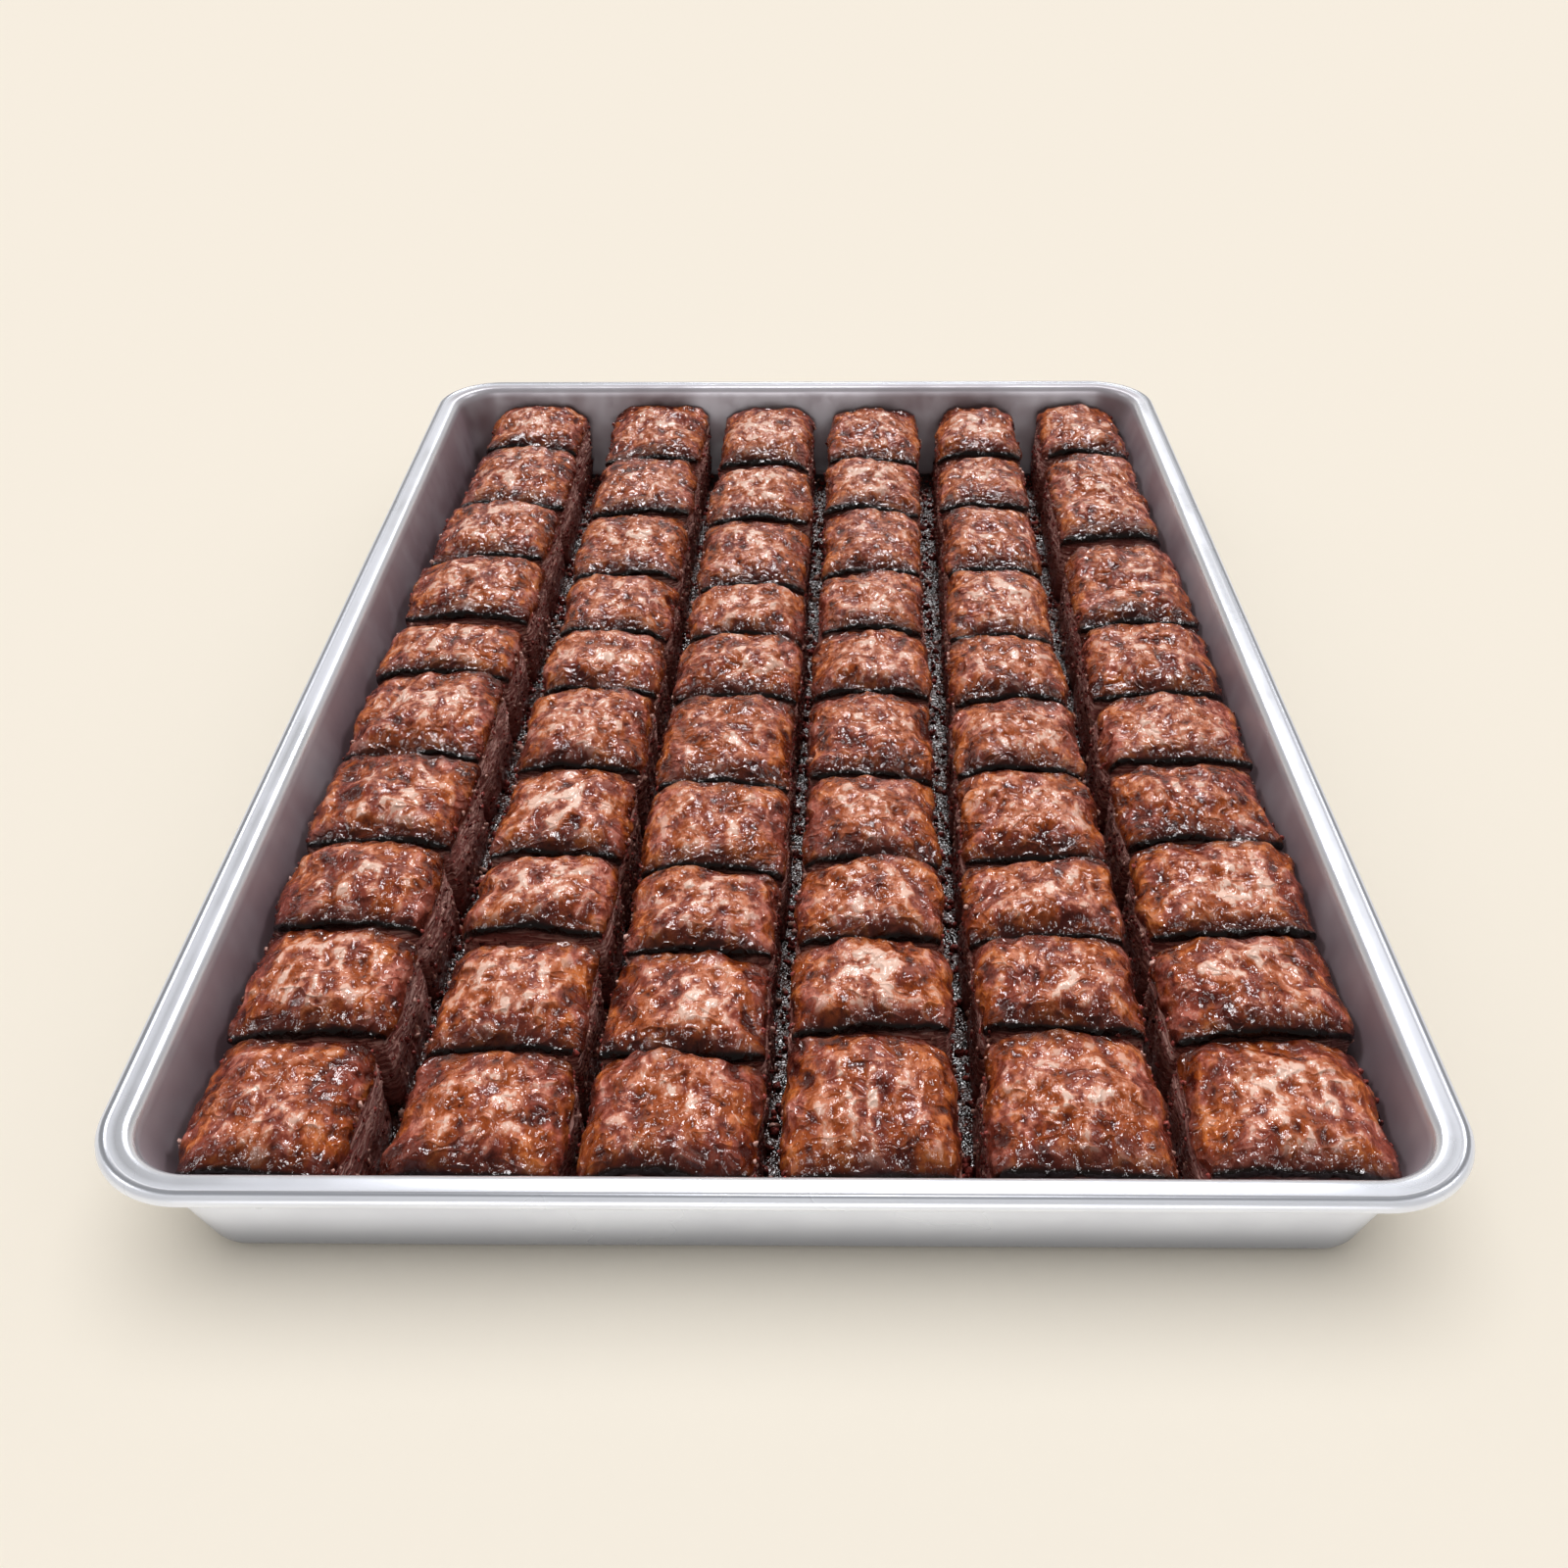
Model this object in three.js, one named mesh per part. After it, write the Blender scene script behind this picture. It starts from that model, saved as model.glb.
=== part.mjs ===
// A rectangular metal baking tray with a rolled rim, filled with chocolate baklava.
// The baklava is cut into six columns of pillow-shaped pieces, and each piece is a mesh of its own.
// Units are millimetres. +Z is up, the columns run along Y, and the front of the tray is at -Y.
// The origin is the middle of the tray's underside.

import * as THREE from 'three';

// The tray, measured over its rim
const TRAY_LENGTH = 600;
const TRAY_WIDTH = 400;
const TRAY_HEIGHT = 50;
const SHEET = 1.2;
const BEAD_RADIUS = 2.5;
const BEAD_ABOVE_FLANGE = 0.5;
const FLANGE_WIDTH = 10.4;
const WALL_FLARE = 14.4;
const RIM_CORNER_RADIUS = 32;
const CORNER_TIGHTENING = 0.6;
const FLANGE_BEND_RADIUS = 2.4;
const FLOOR_BEND_RADIUS = 6;

// How finely the tray's bends are divided
const CORNER_STEPS = 7;
const BEND_STEPS = 3;
const BEAD_STEPS = 9;

// Heights of the baklava above the surface that the tray stands on
const FLOOR_CLEARANCE = 0.5;
const SHOULDER_HEIGHT = 34.5;
const CROWN_HEIGHT = 44.2;
const HIGHEST_CROWN = 45.3;

// The shape of a top sheet: how much of its rise it keeps at a cut, how square its arch is from
// side to side and from cut to cut, and how steeply it falls at the edges
const CUT_EDGE_SHARE = 0.5;
const ARCH_SQUARENESS = 2.4;
const ARCH_FALL = 0.6;
const SWELL_SQUARENESS = 2.6;
const SWELL_FALL = 0.7;

// How much a piece's corners are pulled in, along Y and across, and how close to the corner
const CORNER_PULL_Y = 0.13;
const CORNER_PULL_X = 0.065;
const CORNER_SHARPNESS = 6;

// The sides of a piece: how far they stand out below the top sheet toward the next column, and
// what share of that they stand out toward the next piece in the same column
const WAIST_SHARE = 0.55;
const WAIST_BULGE = 0.7;
const BASE_SPREAD = 1.6;
const CUT_FACE_SHARE = 0.25;

// How far a piece stays off the tray's wall, and how wide a knife cut is
const WALL_CLEARANCE = 1.6;
const CUT_GAP = 2.6;

// Unevenness of the pieces
const CROWN_VARIATION = 0.9;
const TILT_VARIATION = 0.9;
const CRINKLE_DEPTH = 0.75;
const EDGE_VARIATION = 0.8;
const SIDE_ROUGHNESS = 0.4;

// Where the pieces of the front row end, and the places along a column, front to back, for which
// its side edges are given below
const FRONT_END = -281;
const EDGE_STATIONS = [-250, 0, 250];

// The columns from left to right. left and right are the edges of the top sheets at the three
// stations. cuts are the knife cuts along Y, from the back to the front. wide lists the cuts that
// stand open, by their number, with the width of each. back is where the last row ends.
const COLUMNS = [
  {
    left: [-178.5, -178, -168],
    right: [-129.5, -121, -119],
    cuts: [229, 160, 103, 42, -5, -67, -124.5, -172, -224.5],
    wide: { 4: 6.5, 9: 5 },
    back: 286,
  },
  {
    left: [-115, -105.5, -102.5],
    right: [-65.5, -56, -50],
    cuts: [216.5, 148, 83.5, 30.5, -18, -76.5, -132, -177.5, -231],
    wide: { 8: 7.5, 9: 4 },
    back: 286.5,
  },
  {
    left: [-58.5, -47.5, -38.5],
    right: [-8, 3.5, 10.5],
    cuts: [207, 141, 72, 26.5, -22.5, -86.5, -139, -184.5, -232.5],
    wide: { 5: 4 },
    back: 284,
  },
  {
    left: [1, 11, 20.5],
    right: [53.5, 58.5, 67.5],
    cuts: [216.5, 150.5, 87.5, 30.5, -21, -80.5, -133, -177.5, -223],
    wide: { 9: 4.5 },
    back: 281.5,
  },
  {
    left: [62.5, 69.5, 80],
    right: [116, 117.5, 122],
    cuts: [219.5, 155, 88, 27, -26, -79.5, -132, -177.5, -221.5],
    wide: { 9: 4.5 },
    back: 279.5,
  },
  {
    left: [124, 128, 136.5],
    right: [181, 183, 180],
    cuts: [221, 117, 36.5, -22.5, -73.5, -122.5, -175.5, -224],
    wide: { 2: 9, 5: 5 },
    back: 282,
  },
];

// Grid lines of a piece's top, from one edge to the other
const TOP_LINES = [-1, -0.84, -0.47, 0, 0.47, 0.84, 1];

const TRAY_COLOUR = '#c9cacd';
const PASTRY_COLOURS = ['#7d4a33', '#8a4f34', '#74432f'];

const trayMaterial = new THREE.MeshStandardMaterial({
  color: TRAY_COLOUR,
  roughness: 0.28,
  metalness: 1,
});

const pastryMaterials = PASTRY_COLOURS.map(
  (colour) => new THREE.MeshStandardMaterial({ color: colour, roughness: 0.3, metalness: 0 }),
);

// A repeatable random number from -1 to 1 for each set of whole numbers, by an integer hash
function scatter(...numbers) {
  let state = 2166136261;
  for (const number of numbers) {
    state = Math.imul(state ^ (number + 1013), 16777619);
    state = Math.imul(state ^ (state >>> 15), 2246822519);
  }
  state ^= state >>> 13;
  return (state >>> 0) / 2 ** 31 - 1;
}

// A closed mesh from its points and triangles
function closedGeometry(points, triangles) {
  const geometry = new THREE.BufferGeometry();
  geometry.setAttribute('position', new THREE.Float32BufferAttribute(points.flat(), 3));
  geometry.setIndex(triangles.flat());
  geometry.computeVertexNormals();
  return geometry;
}

// Two triangles for each step between two loops of points of the same length. The loops run
// counter-clockwise seen from above, and the band faces outward where the second is the higher.
function band(lower, upper) {
  return lower.flatMap((point, i) => {
    const next = (i + 1) % lower.length;
    return [
      [point, lower[next], upper[next]],
      [point, upper[next], upper[i]],
    ];
  });
}

// The triangles that fill a loop of points, counter-clockwise seen from above
function fill(loop) {
  const outline = loop.map(([x, y]) => new THREE.Vector2(x, y));
  return THREE.ShapeUtils.triangulateShape(outline, []);
}

const FLANGE_TOP = TRAY_HEIGHT - BEAD_ABOVE_FLANGE;
const WALL_ANGLE = Math.atan2(WALL_FLARE, FLANGE_TOP);

// How far inside the rim the wall's inner face lies at a height, leaving out its two bends
function wallLine(z) {
  return FLANGE_WIDTH + WALL_FLARE * ((FLANGE_TOP - z) / FLANGE_TOP);
}

// The same with the bend into the floor
function innerWallInset(z) {
  const aboveFloor = z - SHEET;
  if (aboveFloor >= FLOOR_BEND_RADIUS) {
    return wallLine(z);
  }
  const drop = FLOOR_BEND_RADIUS - Math.max(0, aboveFloor);
  const reach = FLOOR_BEND_RADIUS - Math.sqrt(FLOOR_BEND_RADIUS ** 2 - drop ** 2);
  return wallLine(z) + reach;
}

// The corner radius of the tray at a given distance inside its outer edge
function cornerRadius(inset) {
  const below = Math.max(0, inset - FLANGE_WIDTH);
  return RIM_CORNER_RADIUS - (inset - below) - CORNER_TIGHTENING * below;
}

// Points of a rounded rectangle, counter-clockwise, at a given distance inside the tray's edge
function trayLoop(inset, z) {
  const radius = cornerRadius(inset);
  const centreX = TRAY_WIDTH / 2 - inset - radius;
  const centreY = TRAY_LENGTH / 2 - inset - radius;
  const quarters = [
    [1, 1],
    [-1, 1],
    [-1, -1],
    [1, -1],
  ];
  return quarters.flatMap(([sideX, sideY], quarter) =>
    Array.from({ length: CORNER_STEPS + 1 }, (_, step) => {
      const angle = (quarter + step / CORNER_STEPS) * (Math.PI / 2);
      return [
        sideX * centreX + radius * Math.cos(angle),
        sideY * centreY + radius * Math.sin(angle),
        z,
      ];
    }),
  );
}

// Points of an arc in the tray's section, where x is the distance inside the rim and y the height
function sectionArc({ inset, z, radius, start, end, steps }) {
  return Array.from({ length: steps + 1 }, (_, step) => {
    const angle = THREE.MathUtils.lerp(start, end, step / steps);
    return new THREE.Vector2(inset + radius * Math.cos(angle), z + radius * Math.sin(angle));
  });
}

// The tray's section: out along the underside, up the outside, round the bead, in over the
// flange and down the inside to the floor
function traySection() {
  const down = -Math.PI / 2;
  const up = Math.PI / 2;
  const outward = -Math.PI + WALL_ANGLE;
  const sheetAcross = SHEET / Math.cos(WALL_ANGLE);
  const outerFloorRadius = FLOOR_BEND_RADIUS + SHEET;
  const innerFlangeRadius = FLANGE_BEND_RADIUS + SHEET;
  const flangeBendZ = FLANGE_TOP - innerFlangeRadius;
  const centreAcross = (radius) => radius / Math.cos(WALL_ANGLE);

  const underFloor = sectionArc({
    inset: wallLine(outerFloorRadius) - sheetAcross + centreAcross(outerFloorRadius),
    z: outerFloorRadius,
    radius: outerFloorRadius,
    start: down,
    end: outward,
    steps: BEND_STEPS,
  });
  const underFlange = sectionArc({
    inset: wallLine(flangeBendZ) - sheetAcross - centreAcross(FLANGE_BEND_RADIUS),
    z: flangeBendZ,
    radius: FLANGE_BEND_RADIUS,
    start: WALL_ANGLE,
    end: up,
    steps: BEND_STEPS,
  });
  const bead = sectionArc({
    inset: BEAD_RADIUS,
    z: TRAY_HEIGHT - BEAD_RADIUS,
    radius: BEAD_RADIUS,
    start: 0,
    end: -1.5 * Math.PI,
    steps: BEAD_STEPS,
  });
  const beadFoot = new THREE.Vector2(2 * BEAD_RADIUS, FLANGE_TOP);
  const overFlange = sectionArc({
    inset: wallLine(flangeBendZ) - centreAcross(innerFlangeRadius),
    z: flangeBendZ,
    radius: innerFlangeRadius,
    start: up,
    end: WALL_ANGLE,
    steps: BEND_STEPS,
  });
  const floorBend = sectionArc({
    inset: wallLine(outerFloorRadius) + centreAcross(FLOOR_BEND_RADIUS),
    z: outerFloorRadius,
    radius: FLOOR_BEND_RADIUS,
    start: outward,
    end: down,
    steps: BEND_STEPS,
  });
  return [...underFloor, ...underFlange, ...bead, beadFoot, ...overFlange, ...floorBend];
}

function trayMesh() {
  const loops = traySection().map((point) => trayLoop(point.x, point.y));
  const size = loops[0].length;
  const rows = loops.map((loop, row) => loop.map((_, i) => row * size + i));
  const bands = rows.slice(1).flatMap((row, i) => band(rows[i], row));
  const last = rows[rows.length - 1];
  const cap = fill(loops[0]);
  const underside = cap.map(([a, b, c]) => [a, c, b]);
  const floor = cap.map(([a, b, c]) => [last[a], last[b], last[c]]);
  const geometry = closedGeometry(loops.flat(), [...bands, ...underside, ...floor]);
  const mesh = new THREE.Mesh(geometry, trayMaterial);
  mesh.name = 'tray';
  return mesh;
}

// The edge of a column at a place along it, on the parabola through its three stations
function edgeAt([front, middle, back], y) {
  const t = y / EDGE_STATIONS[2];
  return middle + ((back - front) / 2) * t + ((back + front) / 2 - middle) * t * t;
}

// Moves a point inward until it clears the tray's wall, rounded corners included
function insideTray([x, y, z]) {
  const inset = innerWallInset(z) + WALL_CLEARANCE;
  const halfX = TRAY_WIDTH / 2 - inset;
  const halfY = TRAY_LENGTH / 2 - inset;
  const radius = cornerRadius(inset);
  const nearX = THREE.MathUtils.clamp(x, -halfX, halfX);
  const nearY = THREE.MathUtils.clamp(y, -halfY, halfY);
  const pastX = Math.abs(nearX) - (halfX - radius);
  const pastY = Math.abs(nearY) - (halfY - radius);
  const past = Math.hypot(pastX, pastY);
  if (pastX <= 0 || pastY <= 0 || past <= radius) {
    return [nearX, nearY, z];
  }
  return [
    Math.sign(nearX) * (halfX - radius + (pastX * radius) / past),
    Math.sign(nearY) * (halfY - radius + (pastY * radius) / past),
    z,
  ];
}

// The arch of a top sheet from side to side, 0 at its edges and 1 in the middle
function arch(u) {
  return (1 - Math.abs(u) ** ARCH_SQUARENESS) ** ARCH_FALL;
}

// The swell of a top sheet from cut to cut
function swell(v) {
  const pillow = (1 - Math.abs(v) ** SWELL_SQUARENESS) ** SWELL_FALL;
  return CUT_EDGE_SHARE + (1 - CUT_EDGE_SHARE) * pillow;
}

// Where a grid point of a piece lies in plan, with the piece's corners rounded
function planPoint(piece, u, v) {
  const pullX = CORNER_PULL_X * Math.abs(v) ** CORNER_SHARPNESS * u ** 2;
  const pullY = CORNER_PULL_Y * Math.abs(u) ** CORNER_SHARPNESS * v ** 2;
  const y = THREE.MathUtils.lerp(piece.front, piece.back, (1 + v * (1 - pullY)) / 2);
  const left = edgeAt(piece.left, y) + piece.leftShift;
  const right = edgeAt(piece.right, y) + piece.rightShift;
  const x = THREE.MathUtils.lerp(left, right, (1 + u * (1 - pullX)) / 2);
  return [x, y];
}

function topPoint(piece, i, j) {
  const u = TOP_LINES[i];
  const v = TOP_LINES[j];
  const [x, y] = planPoint(piece, u, v);
  const rise = (piece.crown - SHOULDER_HEIGHT) * arch(u) * swell(v);
  const tilt = piece.tiltX * u + piece.tiltY * v;
  const crinkle = CRINKLE_DEPTH * scatter(piece.column, piece.row, i, j);
  return insideTray([x, y, Math.min(SHOULDER_HEIGHT + rise + tilt + crinkle, HIGHEST_CROWN)]);
}

// The grid positions around the edge of a piece's top, counter-clockwise from the front left
function edgePositions() {
  const last = TOP_LINES.length - 1;
  const steps = Array.from({ length: last }, (_, i) => i);
  return [
    ...steps.map((i) => [i, 0]),
    ...steps.map((j) => [last, j]),
    ...steps.map((i) => [last - i, last]),
    ...steps.map((j) => [0, last - j]),
  ];
}

// A point of a piece's side at a height, pushed out from the top's edge by a distance
function sidePoint(piece, [i, j], z, out) {
  const u = TOP_LINES[i];
  const v = TOP_LINES[j];
  const [x, y] = planPoint(piece, u, v);
  const pushX = Math.abs(u) === 1 ? Math.sign(u) * out : 0;
  const pushY = Math.abs(v) === 1 ? Math.sign(v) * out * CUT_FACE_SHARE : 0;
  const rough = SIDE_ROUGHNESS * scatter(piece.column, piece.row, i, j, Math.round(z));
  return insideTray([x + pushX + rough, y + pushY, z]);
}

// The triangles of the top's grid, with the squares near the corners split along the fold that
// runs round each corner
function topTriangles() {
  const count = TOP_LINES.length;
  const squares = count - 1;
  const triangles = [];
  for (let j = 0; j < squares; j += 1) {
    for (let i = 0; i < squares; i += 1) {
      const a = j * count + i;
      const b = a + 1;
      const c = a + count;
      const d = c + 1;
      const frontLeftOrBackRight = i < squares / 2 === j < squares / 2;
      if (frontLeftOrBackRight) {
        triangles.push([a, b, d], [a, d, c]);
      } else {
        triangles.push([a, b, c], [b, d, c]);
      }
    }
  }
  return triangles;
}

function pieceMesh(piece) {
  const count = TOP_LINES.length;
  const baseZ = SHEET + FLOOR_CLEARANCE;
  const waistZ = SHOULDER_HEIGHT * WAIST_SHARE;
  const top = TOP_LINES.flatMap((_, j) => TOP_LINES.map((__, i) => topPoint(piece, i, j)));
  const edge = edgePositions();
  const waist = edge.map((position) => sidePoint(piece, position, waistZ, WAIST_BULGE));
  const base = edge.map((position) => sidePoint(piece, position, baseZ, BASE_SPREAD));
  const edgeRow = edge.map(([i, j]) => j * count + i);
  const waistRow = waist.map((_, i) => top.length + i);
  const baseRow = base.map((_, i) => top.length + waist.length + i);
  const underside = fill(base).map(([a, b, c]) => [baseRow[a], baseRow[c], baseRow[b]]);
  const geometry = closedGeometry(
    [...top, ...waist, ...base],
    [...band(baseRow, waistRow), ...band(waistRow, edgeRow), ...topTriangles(), ...underside],
  );
  const material = pastryMaterials[(piece.column + piece.row) % pastryMaterials.length];
  const mesh = new THREE.Mesh(geometry, material);
  mesh.name = `baklava_c${piece.column}_r${String(piece.row).padStart(2, '0')}`;
  return mesh;
}

// The pieces of one column, from the back to the front
function columnPieces(column, number) {
  const half = (cut) => (column.wide[cut] ?? CUT_GAP) / 2;
  const backs = [column.back, ...column.cuts.map((y, i) => y - half(i + 1))];
  const fronts = [...column.cuts.map((y, i) => y + half(i + 1)), FRONT_END];
  return backs.map((back, i) => {
    const row = i + 1;
    return {
      column: number,
      row,
      back,
      front: fronts[i],
      left: column.left,
      right: column.right,
      leftShift: EDGE_VARIATION * scatter(number, row, 1),
      rightShift: EDGE_VARIATION * scatter(number, row, 2),
      crown: CROWN_HEIGHT + CROWN_VARIATION * scatter(number, row, 3),
      tiltX: TILT_VARIATION * scatter(number, row, 4),
      tiltY: TILT_VARIATION * scatter(number, row, 5),
    };
  });
}

const trayOfBaklava = new THREE.Group();
trayOfBaklava.add(trayMesh());
COLUMNS.forEach((column, i) => {
  columnPieces(column, i + 1).forEach((piece) => trayOfBaklava.add(pieceMesh(piece)));
});

export default trayOfBaklava;
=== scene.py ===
# %% [markdown]
# # Chocolate baklava in its baking tray
# A deep sheet-metal tray with a rolled rim holds six columns of chocolate baklava. Each piece is
# a small glazed pillow: a crinkled sheet on top, cut sides that show the layers, and dark crumbs
# and syrup in the gaps between the columns.
#
# The frame gives every solid in its final place, so it is loaded and measured first. Nothing made
# later may reach far outside that box.

# %% Load the fixed frame
import math
from functools import cached_property

import bpy
import numpy as np
from mathutils import Matrix, Vector


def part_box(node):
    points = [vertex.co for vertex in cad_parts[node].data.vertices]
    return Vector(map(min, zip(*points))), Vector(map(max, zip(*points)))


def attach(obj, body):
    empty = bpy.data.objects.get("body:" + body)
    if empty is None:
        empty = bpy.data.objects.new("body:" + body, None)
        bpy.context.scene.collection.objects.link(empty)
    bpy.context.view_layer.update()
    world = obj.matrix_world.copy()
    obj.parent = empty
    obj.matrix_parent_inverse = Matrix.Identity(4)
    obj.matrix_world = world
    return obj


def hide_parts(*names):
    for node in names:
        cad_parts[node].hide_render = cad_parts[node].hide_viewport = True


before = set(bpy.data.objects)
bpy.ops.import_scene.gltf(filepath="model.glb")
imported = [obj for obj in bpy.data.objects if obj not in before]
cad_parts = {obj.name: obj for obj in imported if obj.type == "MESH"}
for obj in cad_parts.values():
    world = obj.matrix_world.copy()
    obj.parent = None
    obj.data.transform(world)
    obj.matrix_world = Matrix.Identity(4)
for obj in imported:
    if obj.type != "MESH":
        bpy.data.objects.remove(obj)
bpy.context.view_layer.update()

MM = 0.001

# %% [markdown]
# ## Camera
# The tray was photographed from in front and above, from less than a metre away, so its front
# edge looks much wider than its back edge. The camera stands where that perspective puts it.

# %% Camera
CAMERA_PLACE = Vector((7.6, -600.6, 404.7)) * MM
CAMERA_PITCH_DOWN = math.radians(35.36)
CAMERA_YAW = math.radians(1.013)
CAMERA_ROLL = math.radians(-0.511)
CAMERA_LENS = 37.54
CAMERA_SENSOR = 36.0
CAMERA_CLIP = (0.01, 50)


def link(thing):
    """Puts an object into the scene and returns it."""
    bpy.context.scene.collection.objects.link(thing)
    return thing


def make_camera():
    lens = bpy.data.cameras.new("camera")
    lens.lens = CAMERA_LENS
    lens.sensor_width = CAMERA_SENSOR
    lens.clip_start, lens.clip_end = CAMERA_CLIP
    camera = link(bpy.data.objects.new("camera", lens))
    yaw = Matrix.Rotation(CAMERA_YAW, 4, "Z")
    pitch = Matrix.Rotation(math.pi / 2 - CAMERA_PITCH_DOWN, 4, "X")
    roll = Matrix.Rotation(CAMERA_ROLL, 4, "Z")
    camera.matrix_world = Matrix.Translation(CAMERA_PLACE) @ (yaw @ pitch @ roll)
    bpy.context.scene.camera = camera


make_camera()
print("camera at", [round(value, 4) for value in CAMERA_PLACE], "m")

# %% [markdown]
# ## Writing node trees like formulas
# A `Field` stands for a value in a node tree, and adding or multiplying fields adds the Math nodes
# that work it out. A function of fields, such as `ramp`, adds its node to the tree of the field
# that it is given, so shader trees and Geometry Nodes trees are written alike. `Finish` is the
# tree of a material.

# %% Fields and trees
SEED_STEPS = (0.37, 0.59, 0.83)


def operator(operation, swapped=False):
    """A method of Field that adds the Math node for a Python operator."""

    def method(self, *others):
        values = (*others, self) if swapped else (self, *others)
        return self.tree.math(operation, *values)

    return method


class Field:
    """A value inside a node tree."""

    def __init__(self, tree, socket):
        self.tree = tree
        self.socket = socket

    __add__ = __radd__ = operator("ADD")
    __sub__ = operator("SUBTRACT")
    __rsub__ = operator("SUBTRACT", swapped=True)
    __mul__ = __rmul__ = operator("MULTIPLY")
    __truediv__ = operator("DIVIDE")
    __rtruediv__ = operator("DIVIDE", swapped=True)
    __pow__ = operator("POWER")
    __abs__ = operator("ABSOLUTE")

    def math(self, operation, *others):
        return self.tree.math(operation, self, *others)


class Tree:
    """Adds nodes to one node tree and links them."""

    def __init__(self, tree):
        self.tree = tree

    def feed(self, socket, value):
        if isinstance(value, Field):
            self.tree.links.new(value.socket, socket)
        else:
            socket.default_value = value

    def add(self, kind, inputs=(), **settings):
        node = self.tree.nodes.new(kind)
        for key, value in settings.items():
            setattr(node, key, value)
        for key, value in dict(inputs).items():
            self.feed(node.inputs[key], value)
        return node

    def field(self, kind, inputs=(), output=0, **settings):
        return Field(self, self.add(kind, inputs, **settings).outputs[output])

    def math(self, operation, *values, clamp=False):
        inputs = enumerate(values)
        return self.field("ShaderNodeMath", inputs, operation=operation, use_clamp=clamp)

    def combine(self, x, y, z):
        return self.field("ShaderNodeCombineXYZ", {"X": x, "Y": y, "Z": z})


def vector_math(operation, first, second):
    inputs = {0: first, 1: second}
    return first.tree.field("ShaderNodeVectorMath", inputs, operation=operation)


def scaled(vector, scale):
    inputs = {0: vector, "Scale": scale}
    return vector.tree.field("ShaderNodeVectorMath", inputs, operation="SCALE")


def separate(vector):
    node = vector.tree.add("ShaderNodeSeparateXYZ", {0: vector})
    return [Field(vector.tree, output) for output in node.outputs]


def noise(vector, scale, detail=2.0, roughness=0.5, output="Fac"):
    inputs = {"Vector": vector, "Scale": scale, "Detail": detail, "Roughness": roughness}
    return vector.tree.field("ShaderNodeTexNoise", inputs, output)


def cells(vector, scale, feature="F1"):
    inputs = {"Vector": vector, "Scale": scale}
    return vector.tree.field("ShaderNodeTexVoronoi", inputs, "Distance", feature=feature)


def elsewhere(vector, seed):
    """The same place in another part of the textures, so that a pattern doesn't repeat."""
    shift = vector.tree.combine(*(seed * step for step in SEED_STEPS))
    return vector_math("ADD", vector, shift)


def swing(vector, scale, size):
    """A shift that wanders to all sides, along each axis by no more than half of size."""
    cloud = noise(vector, scale, 1.0, output="Color")
    return scaled(vector_math("SUBTRACT", cloud, (0.5, 0.5, 0.5)), size)


def ramp(value, low, high, start=0.0, end=1.0):
    """start below low, end above high, and a smooth step between them."""
    inputs = {"Value": value, "From Min": low, "From Max": high, "To Min": start, "To Max": end}
    return value.tree.field("ShaderNodeMapRange", inputs, interpolation_type="SMOOTHSTEP")


def mix(share, first, second):
    """A colour between two colours."""
    return share.tree.field("ShaderNodeMix", {0: share, 6: first, 7: second}, 2, data_type="RGBA")


class Finish(Tree):
    """The tree of a material with a Principled surface, and short ways to feed it."""

    def __init__(self, name, **constants):
        self.material = bpy.data.materials.new(name)
        self.material.use_nodes = True
        super().__init__(self.material.node_tree)
        self.surface = self.tree.nodes["Principled BSDF"]
        self.set(**constants)

    @cached_property
    def place(self):
        return self.field("ShaderNodeTexCoord", output="Object")

    def set(self, **values):
        for key, value in values.items():
            self.feed(self.surface.inputs[key.replace("_", " ")], value)

    def group(self, group, at=None, **numbers):
        inputs = {key.capitalize(): value for key, value in numbers.items()}
        return self.field("ShaderNodeGroup", {"Vector": at or self.place, **inputs}, node_tree=group)

    def attribute(self, name):
        return self.field("ShaderNodeAttribute", output="Fac", attribute_name=name)

    def bump(self, height, distance, strength=1.0):
        inputs = {"Height": height, "Distance": distance, "Strength": strength}
        self.set(Normal=self.field("ShaderNodeBump", inputs, "Normal"))


def blend(share, first, second):
    """A value between two values."""
    return first + (second - first) * share


def ridged(value):
    """Narrow ridges where a cloud texture crosses its middle value."""
    return 1 - abs(value * 2 - 1)


def colour(red, green, blue):
    """A colour given in everyday values from 0 to 255, as Blender's linear one."""
    shares = [value / 255 for value in (red, green, blue)]
    linear = [s / 12.92 if s <= 0.04045 else ((s + 0.055) / 1.055) ** 2.4 for s in shares]
    return (*linear, 1.0)


# %% [markdown]
# ## Floor and light
# The photograph has a plain cream ground with a short soft shadow, while the highlights on the
# glaze come from behind. So the floor and the tray get lights of their own, by light linking. All
# are distant lights, as bright at the far end of the floor as near the tray. The main one gives
# the glints on the tops, the left and right ones reach into the gaps, and the low front one
# lights the metal alone.

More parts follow.
